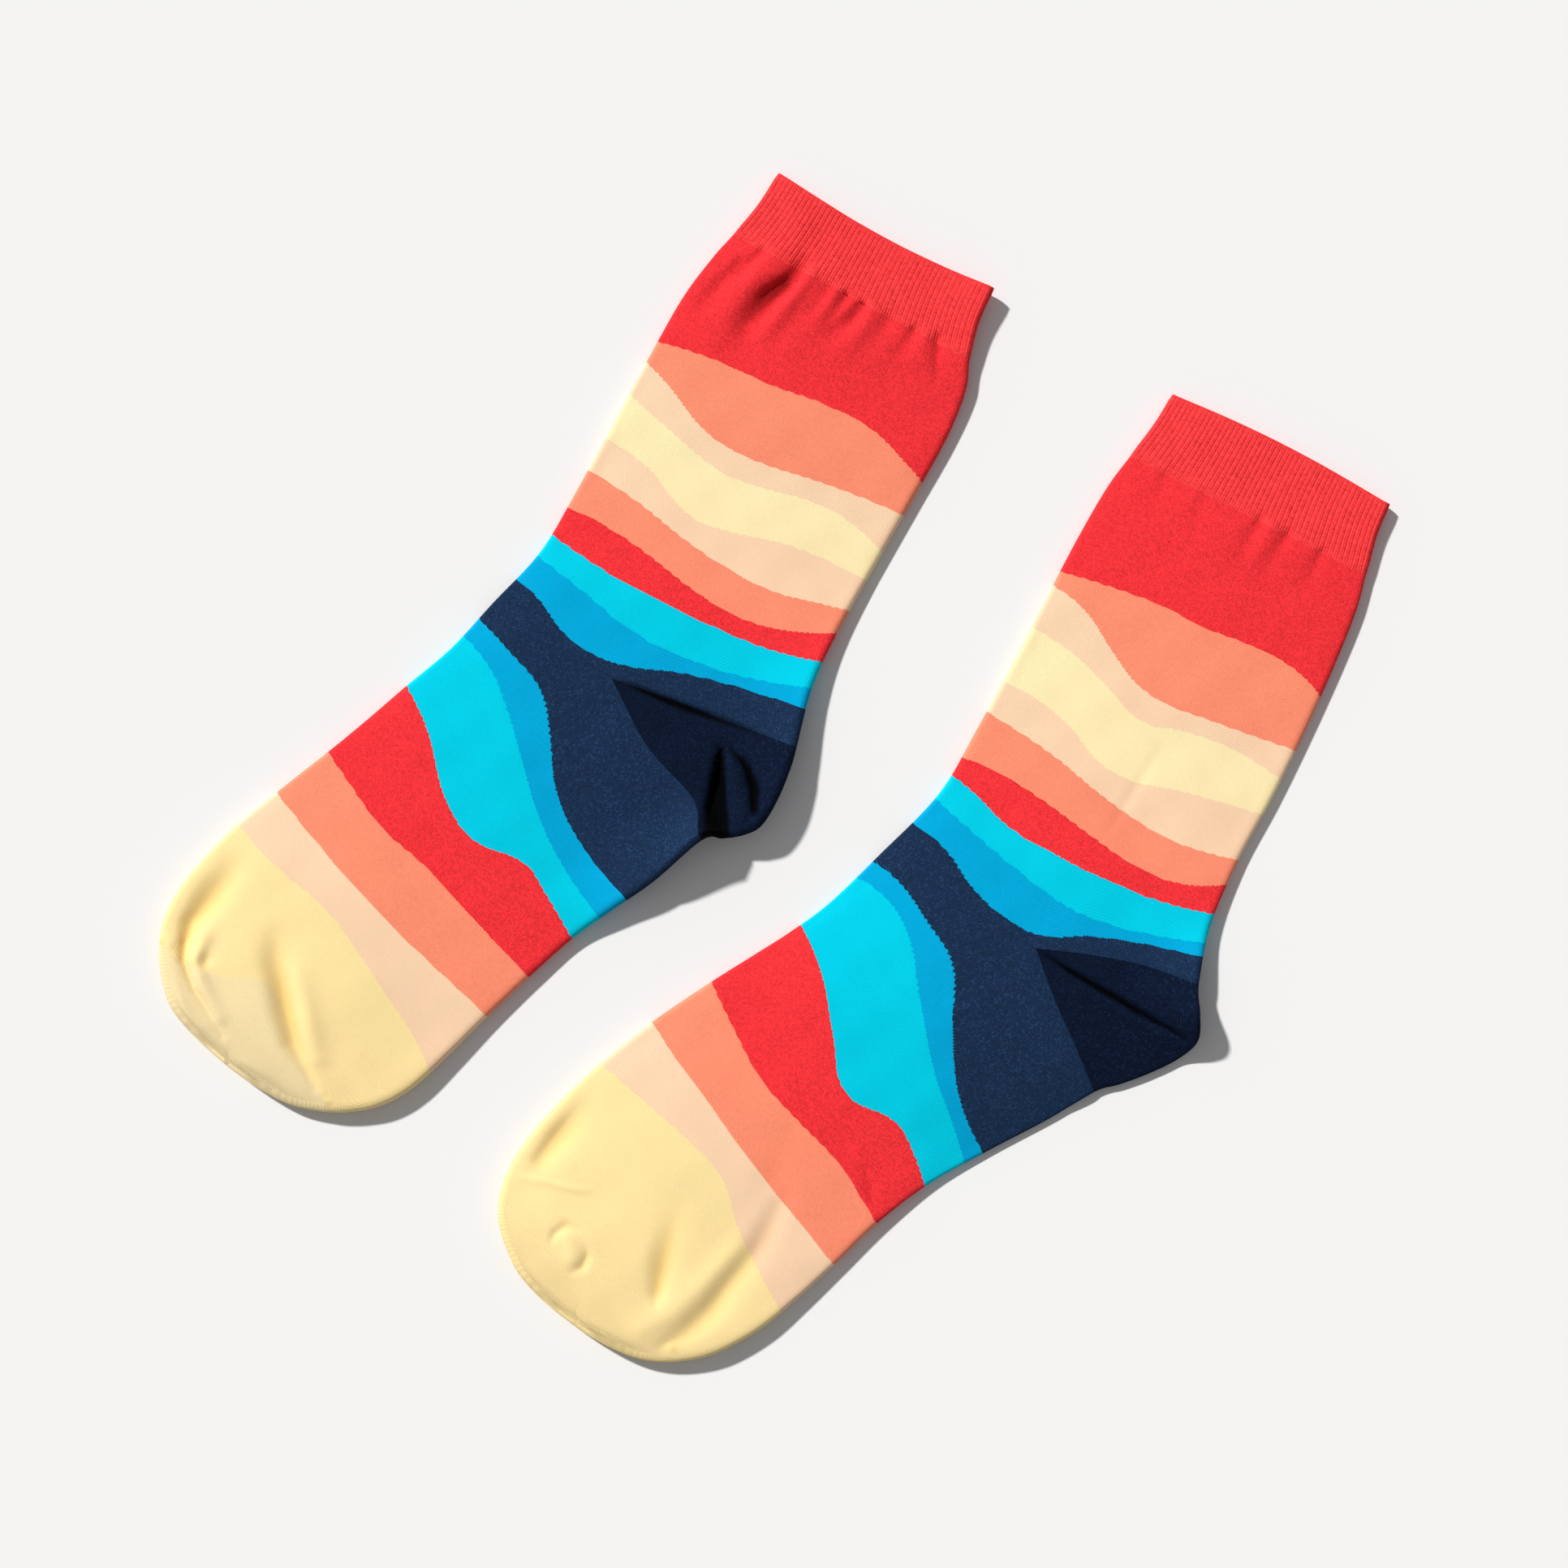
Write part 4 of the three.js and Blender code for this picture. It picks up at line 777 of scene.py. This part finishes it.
def painted_shade_at(sock):
    """Gives the painted shade at plan points, from 0 to 1: darker in its folds and creases, under its pleats and
    at its knots."""
    def found(x, y):
        deep = -heights(sock["folds"], x, y) / FULL_SHADE_DEPTH + heights(sock["painted_shade_lines"], x, y)
        for spot in sock["painted_shade_spots"]:
            away = np.hypot(x - spot["x"], y - spot["y"]) / (0.5 * spot["width"])
            deep = deep + spot["depth"] * np.exp(-(away**2))
        return np.clip(deep, 0, 1)

    return found


def loop_of(line):
    return np.append(line, line[0])


def jersey_piece(sock):
    """Leg, foot and toe: one tube with a wedge left open for the heel pocket."""
    gore = section_index(sock, "gore")
    toe = section_index(sock, "toe_start")
    start = section_index(sock, "cuff_end") + half_gap(sock, "cuff_end")
    leg_places = places_between(sock, start, gore, False, ROW_STEP)
    foot_places = places_between(sock, gore, toe, True, ROW_STEP)
    toe_places = places_between(sock, toe, len(sock["sections"]) - 1, True, TOE_ROW_STEP)
    leg = courses_at(sock, leg_places, False)
    foot = courses_at(sock, np.concatenate([foot_places, toe_places[1:]]), True)
    ring = whole_ring(TOP_COLUMNS // 2, ARC_COLUMNS, UNDER_COLUMNS // 2)
    shell = Shell()
    leg_course = course_numbers(leg, 0)
    foot_course = course_numbers(foot, leg_course[-1])
    leg_grid = tube_grid(sock, leg, JERSEY_WALL, ring, plain)
    top, inside = shell.add(leg_grid, leg_course, WALES, True, painted_shade_at(sock))
    shell.rim(loop_of(top[0]), loop_of(inside[0]), True)
    foot_grid = tube_grid(sock, foot, JERSEY_WALL, ring, plain)
    low, low_inside = shell.add(foot_grid, foot_course, WALES, True, painted_shade_at(sock))
    # The gore: the seam edges of leg and foot from the apex over the back edge and back to the apex
    seam = np.arange(TOP_COLUMNS // 2 + ARC_COLUMNS + UNDER_COLUMNS // 2 + 1)
    shell.rim(top[-1][seam], inside[-1][seam], False)
    shell.rim(low[0][seam], low_inside[0][seam], True)
    piece = shell.build(sock, sock["side"] + "_jersey")
    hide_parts(sock["side"] + "_leg_foot", sock["side"] + "_toe")
    return piece


def half_gap(sock, name):
    """Half the seam gap at a section, in list steps."""
    front = edges_of(sock)[0]
    return 0.5 * SEAM_GAP / np.linalg.norm(pace(front, np.array([float(section_index(sock, name))])))


def cuff_piece(sock):
    start = section_index(sock, "cuff_top")
    end = section_index(sock, "cuff_end") - half_gap(sock, "cuff_end")
    courses = courses_at(sock, places_between(sock, start, end, False, ROW_STEP), False)
    side_columns = POINTS_PER_RIB * RIBS // 2
    ring = whole_ring(side_columns, CUFF_ARC_COLUMNS, side_columns)
    shell = Shell()
    course = course_numbers(courses, 0)
    grid = tube_grid(sock, courses, CUFF_WALL, ring, ribs_of(courses))
    outer, inner = shell.add(grid, course, RIBS, True, painted_shade_at(sock))
    shell.rim(loop_of(outer[0]), loop_of(inner[0]), True)
    shell.rim(loop_of(outer[-1]), loop_of(inner[-1]), False)
    piece = shell.build(sock, sock["side"] + "_cuff_rib")
    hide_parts(sock["side"] + "_cuff")
    return piece


def heel_piece(sock):
    courses = pocket_courses(sock, POCKET_ROWS)
    columns = {"top_back": TOP_COLUMNS // 2, "arc_back": ARC_COLUMNS, "under_back": UNDER_COLUMNS // 2}
    ring = ring_places(**columns) + [("under_back", 1.0)]
    shell = Shell()
    grid = tube_grid(sock, courses, JERSEY_WALL, ring, plain)
    outer, inner = shell.add(grid, np.arange(POCKET_ROWS) * 1.0, WALES, False, painted_shade_at(sock))
    shell.rim(outer[0], inner[0], True)
    shell.rim(outer[-1], inner[-1], False)
    piece = shell.build(sock, sock["side"] + "_heel_pocket")
    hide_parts(sock["side"] + "_heel")
    return piece


# Materials

class Graph:
    """A material's nodes, with one short call for each kind."""

    def __init__(self, name):
        self.material = bpy.data.materials.new(name)
        self.material.use_nodes = True
        self.tree = self.material.node_tree
        self.shader = self.tree.nodes["Principled BSDF"]
        self.shader.inputs["Roughness"].default_value = ROUGHNESS
        self.shader.inputs["Specular IOR Level"].default_value = SPECULAR

    def node(self, kind, **settings):
        made = self.tree.nodes.new(kind)
        for key, value in settings.items():
            setattr(made, key, value)
        return made

    def put(self, socket, value):
        if isinstance(value, bpy.types.NodeSocket):
            self.tree.links.new(value, socket)
        else:
            socket.default_value = value

    def math(self, operation, *values):
        made = self.node("ShaderNodeMath", operation=operation)
        for socket, value in zip(made.inputs, values):
            self.put(socket, value)
        return made.outputs[0]

    def parts(self, name):
        """The x and y of a stored attribute."""
        source = self.node("ShaderNodeAttribute", attribute_name=name)
        split = self.node("ShaderNodeSeparateXYZ")
        self.put(split.inputs[0], source.outputs["Vector"])
        return split.outputs[0], split.outputs[1]

    def mix_colour(self, share, a, b, blend="MIX"):
        made = self.node("ShaderNodeMix", data_type="RGBA", blend_type=blend)
        self.put(made.inputs[0], share)
        self.put(made.inputs[6], a)
        self.put(made.inputs[7], b)
        return made.outputs[2]

    def scaled(self, colour, factor):
        grey = self.node("ShaderNodeCombineColor")
        for socket in grey.inputs[:3]:
            self.put(socket, factor)
        return self.mix_colour(1.0, colour, grey.outputs[0], "MULTIPLY")

    def curve(self, points, value):
        """A float curve through points from 0 to 1, read at a value from 0 to 1."""
        made = self.node("ShaderNodeFloatCurve")
        line = made.mapping.curves[0]
        for i, point in enumerate(points):
            if i < 2:
                line.points[i].location = point
            else:
                line.points.new(*point)
        made.mapping.update()
        self.put(made.inputs["Value"], value)
        return made.outputs[0]

    def random(self, vector):
        made = self.node("ShaderNodeTexWhiteNoise", noise_dimensions="3D")
        self.put(made.inputs["Vector"], vector)
        return made.outputs["Value"]

    def noise(self, scale, detail, vector):
        made = self.node("ShaderNodeTexNoise")
        made.inputs["Scale"].default_value = scale
        made.inputs["Detail"].default_value = detail
        self.put(made.inputs["Vector"], vector)
        return made.outputs["Fac"]


def linear(colour):
    values = [c / 255 for c in colour]
    return [c / 12.92 if c <= 0.04045 else ((c + 0.055) / 1.055) ** 2.4 for c in values] + [1.0]


class Stitches:
    """The knit's stitches: the place in the stitch, the stitch's middle, a random number for it and one
    for each of its strands."""

    def __init__(self, graph):
        wale, course = graph.parts("stitch")
        across = graph.math("SUBTRACT", graph.math("FRACT", wale), 0.5)
        self.side = graph.math("ABSOLUTE", across)
        slant = graph.math("MULTIPLY", graph.math("SUBTRACT", self.side, 0.25), STITCH_SLANT)
        self.course = graph.math("ADD", course, slant)
        down = graph.math("SUBTRACT", graph.math("FRACT", self.course), 0.5)
        self.from_middle = (across, graph.math("SUBTRACT", down, slant))
        cell = graph.node("ShaderNodeCombineXYZ")
        graph.put(cell.inputs[0], graph.math("FLOOR", wale))
        graph.put(cell.inputs[1], graph.math("FLOOR", self.course))
        self.random = graph.random(cell.outputs[0])
        strand = graph.node("ShaderNodeCombineXYZ")
        graph.put(strand.inputs[0], graph.math("FLOOR", graph.math("MULTIPLY", wale, STRANDS)))
        graph.put(strand.inputs[1], graph.math("FLOOR", graph.math("MULTIPLY", self.course, STRANDS)))
        graph.put(strand.inputs[2], 0.5)
        self.grain = graph.random(strand.outputs[0])

    def middle_plan(self, graph):
        """Plan x and y of the middle of the stitch, a little off it at random."""
        found = []
        steps = zip(graph.parts("plan"), graph.parts("wale_step"), graph.parts("course_step"))
        for plan, wale_step, course_step in steps:
            across = graph.math("MULTIPLY", self.from_middle[0], wale_step)
            loose = graph.math("MULTIPLY_ADD", self.random, STITCH_LOOSE, self.from_middle[1])
            down = graph.math("MULTIPLY", loose, course_step)
            away = graph.math("MULTIPLY", graph.math("ADD", across, down), STITCH_STEP)
            found.append(graph.math("SUBTRACT", plan, away))
        return found

    def relief(self, graph):
        """Height of the stitch from 0 to 1: two slanting legs that meet in the middle of the wale."""
        turns = graph.math("MULTIPLY", self.course, 2 * math.pi)
        down = graph.math("MULTIPLY_ADD", graph.math("COSINE", turns), -STITCH_DIP, 1 - STITCH_DIP)
        leg = graph.math("SINE", graph.math("MULTIPLY", self.side, 2 * math.pi))
        return graph.math("MULTIPLY", down, leg)


def spread(graph, value, tone):
    """A value from 0 to 1 as a tone lighter or darker than none."""
    return graph.math("MULTIPLY_ADD", value, tone, -0.5 * tone)


def finish_knit(graph, stitches, colour):
    """The stitches' relief, and the colour's variation: more in deep colours, with single lighter strands in
    dark ones, painted shade and light by the stitches' relief, and painted shade in folds, creases, pleats and
    spots."""
    position = graph.node("ShaderNodeTexCoord").outputs["Object"]
    height = stitches.relief(graph)
    fibre = graph.noise(FIBRE_SCALE, 2, position)
    patch = graph.noise(PATCH_SCALE, 3, position)
    green = graph.node("ShaderNodeSeparateColor")
    graph.put(green.inputs[0], colour)
    deep = graph.math("POWER", graph.math("SUBTRACT", 1.0, green.outputs[1]), DEEP_POWER)
    grey = graph.node("ShaderNodeRGBToBW")
    graph.put(grey.inputs[0], colour)
    dark = graph.math("POWER", graph.math("SUBTRACT", 1.0, grey.outputs[0]), DARK_POWER)
    texture = spread(graph, stitches.random, STITCH_TONE)
    # Painted shade and light from the stitch's relief: darker where it is low, lighter where it is high
    texture = graph.math("ADD", texture, graph.math("MULTIPLY_ADD", height, RELIEF_SHADE_TONE, -RELIEF_MIDDLE))
    texture = graph.math("ADD", texture, spread(graph, stitches.grain, STRAND_TONE))
    speck = graph.math("MULTIPLY", graph.math("GREATER_THAN", stitches.grain, SPECK_LEVEL), SPECK_GAIN)
    texture = graph.math("MULTIPLY_ADD", speck, dark, texture)
    shown = graph.math("MULTIPLY_ADD", deep, 1 - PALE_SHARE, PALE_SHARE)
    light = graph.math("MULTIPLY_ADD", texture, shown, 1.0)
    light = graph.math("MULTIPLY", light, graph.math("MULTIPLY_ADD", patch, PATCH_TONE, 1 - 0.5 * PATCH_TONE))
    toned = graph.scaled(colour, light)
    # Painted shade: in folds, creases, pleats and spots the colour is multiplied towards a dark shade tint
    tone = graph.mix_colour(dark, graph.mix_colour(deep, PALE_SHADE_TINT, DEEP_SHADE_TINT), DARK_SHADE_TINT)
    painted_shade = graph.node("ShaderNodeAttribute", attribute_name="painted_shade").outputs["Fac"]
    toned = graph.mix_colour(painted_shade, toned, graph.mix_colour(1.0, toned, tone, "MULTIPLY"))
    graph.put(graph.shader.inputs["Base Color"], toned)
    bump = graph.node("ShaderNodeBump")
    bump.inputs["Strength"].default_value = RELIEF_STRENGTH
    bump.inputs["Distance"].default_value = STITCH_DEPTH * MM
    graph.put(bump.inputs["Height"], graph.math("MULTIPLY_ADD", fibre, FIBRE_RELIEF, height))
    graph.put(graph.shader.inputs["Normal"], bump.outputs[0])
    return graph.material


PLAN_LOW = -200.0  # the plan's x and y are taken from this
PLAN_SIZE = 400.0  # over this, to lie from 0 to 1


def band_colour(graph, sock, x, y):
    """The yarn at a plan point: red down to the first line, then each line's yarn below it."""
    share = graph.math("DIVIDE", graph.math("SUBTRACT", x, PLAN_LOW), PLAN_SIZE)
    colour = linear(YARN["red"])
    for band in sock["bands"]:
        points = [
            ((band[f"x{i}"] - PLAN_LOW) / PLAN_SIZE, (band[f"y{i}"] - PLAN_LOW) / PLAN_SIZE)
            for i in range(7)
        ]
        line = graph.math("MULTIPLY_ADD", graph.curve(points, share), PLAN_SIZE, PLAN_LOW)
        below = graph.math("LESS_THAN", y, line)
        colour = graph.mix_colour(below, colour, linear(YARN[band["colour"]]))
    return colour


def striped_material(sock):
    graph = Graph(sock["side"] + "_striped_jersey")
    stitches = Stitches(graph)
    x, y = stitches.middle_plan(graph)
    return finish_knit(graph, stitches, band_colour(graph, sock, x, y))


def plain_material(name, colour):
    graph = Graph(name)
    base = graph.node("ShaderNodeRGB")
    base.outputs[0].default_value = linear(colour)
    return finish_knit(graph, Stitches(graph), base.outputs[0])


# Stage

PHOTO_WIDTH = 0.5216  # metres of the surface that the picture spans
LENS = 70.0
SENSOR = 36.0
PICTURE_TURN = math.radians(27.5)  # from the frame's +Y to the picture's up

SUN_ENERGY = 4.56
SUN_SIZE = math.radians(3.6)
SUN_COLOUR = (1.0, 0.985, 0.965)
SUN_HEIGHT = math.radians(40)
SUN_WAY = math.radians(135)  # from the picture's right to where the light comes from
SKY_COLOUR = (0.96, 0.965, 0.975, 1)
SKY_STRENGTH = 0.31

FLOOR_REACH = 16.0  # metres, as the next
FLOOR_BELOW = 0.0002
FLOOR_COLOUR = (0.74, 0.74, 0.743, 1)
FLOOR_ROUGHNESS, FLOOR_SPECULAR = 0.8, 0.1


def make_camera():
    data = bpy.data.cameras.new("camera")
    data.lens, data.sensor_width = LENS, SENSOR
    camera = bpy.data.objects.new("camera", data)
    camera.location = (PLAN_ORIGIN[0] * MM, PLAN_ORIGIN[1] * MM, PHOTO_WIDTH * LENS / SENSOR)
    camera.rotation_euler = (0, 0, PICTURE_TURN)
    bpy.context.scene.collection.objects.link(camera)
    bpy.context.scene.camera = camera


def make_light():
    """One soft key from the picture's upper left, and an even sky."""
    key = bpy.data.lights.new("key", "SUN")
    key.energy = SUN_ENERGY
    key.angle = SUN_SIZE
    key.color = SUN_COLOUR
    lamp = bpy.data.objects.new("key", key)
    quarter = math.radians(90)
    lamp.rotation_euler = (quarter - SUN_HEIGHT, 0, SUN_WAY + PICTURE_TURN + quarter)
    bpy.context.scene.collection.objects.link(lamp)
    world = bpy.data.worlds.new("studio")
    world.use_nodes = True
    background = world.node_tree.nodes["Background"]
    background.inputs["Color"].default_value = SKY_COLOUR
    background.inputs["Strength"].default_value = SKY_STRENGTH
    bpy.context.scene.world = world
    bpy.context.scene.view_settings.view_transform = "Standard"


def make_floor():
    corners = [(x * FLOOR_REACH, y * FLOOR_REACH, -FLOOR_BELOW) for x, y in ((-1, -1), (1, -1), (1, 1), (-1, 1))]
    mesh = bpy.data.meshes.new("floor")
    mesh.from_pydata(corners, [], [(0, 1, 2, 3)])
    floor = bpy.data.objects.new("floor", mesh)
    material = bpy.data.materials.new("pale_floor")
    material.use_nodes = True
    shader = material.node_tree.nodes["Principled BSDF"]
    shader.inputs["Base Color"].default_value = FLOOR_COLOUR
    shader.inputs["Roughness"].default_value = FLOOR_ROUGHNESS
    shader.inputs["Specular IOR Level"].default_value = FLOOR_SPECULAR
    mesh.materials.append(material)
    bpy.context.scene.collection.objects.link(floor)


# The pair

make_camera()
make_light()
make_floor()

rib_knit = plain_material("rib_knit", YARN["cuff"])
heel_knit = plain_material("heel_knit", YARN["heel"])
for sock in (LEFT_SOCK, RIGHT_SOCK):
    made = {
        "cuff": (cuff_piece(sock), rib_knit, "cuff_rib"),
        "jersey": (jersey_piece(sock), striped_material(sock), "striped_jersey"),
        "heel": (heel_piece(sock), heel_knit, "heel_jersey"),
    }
    for kind, (piece, material, slot) in made.items():
        piece.data.materials.append(material)
        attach(piece, "root")
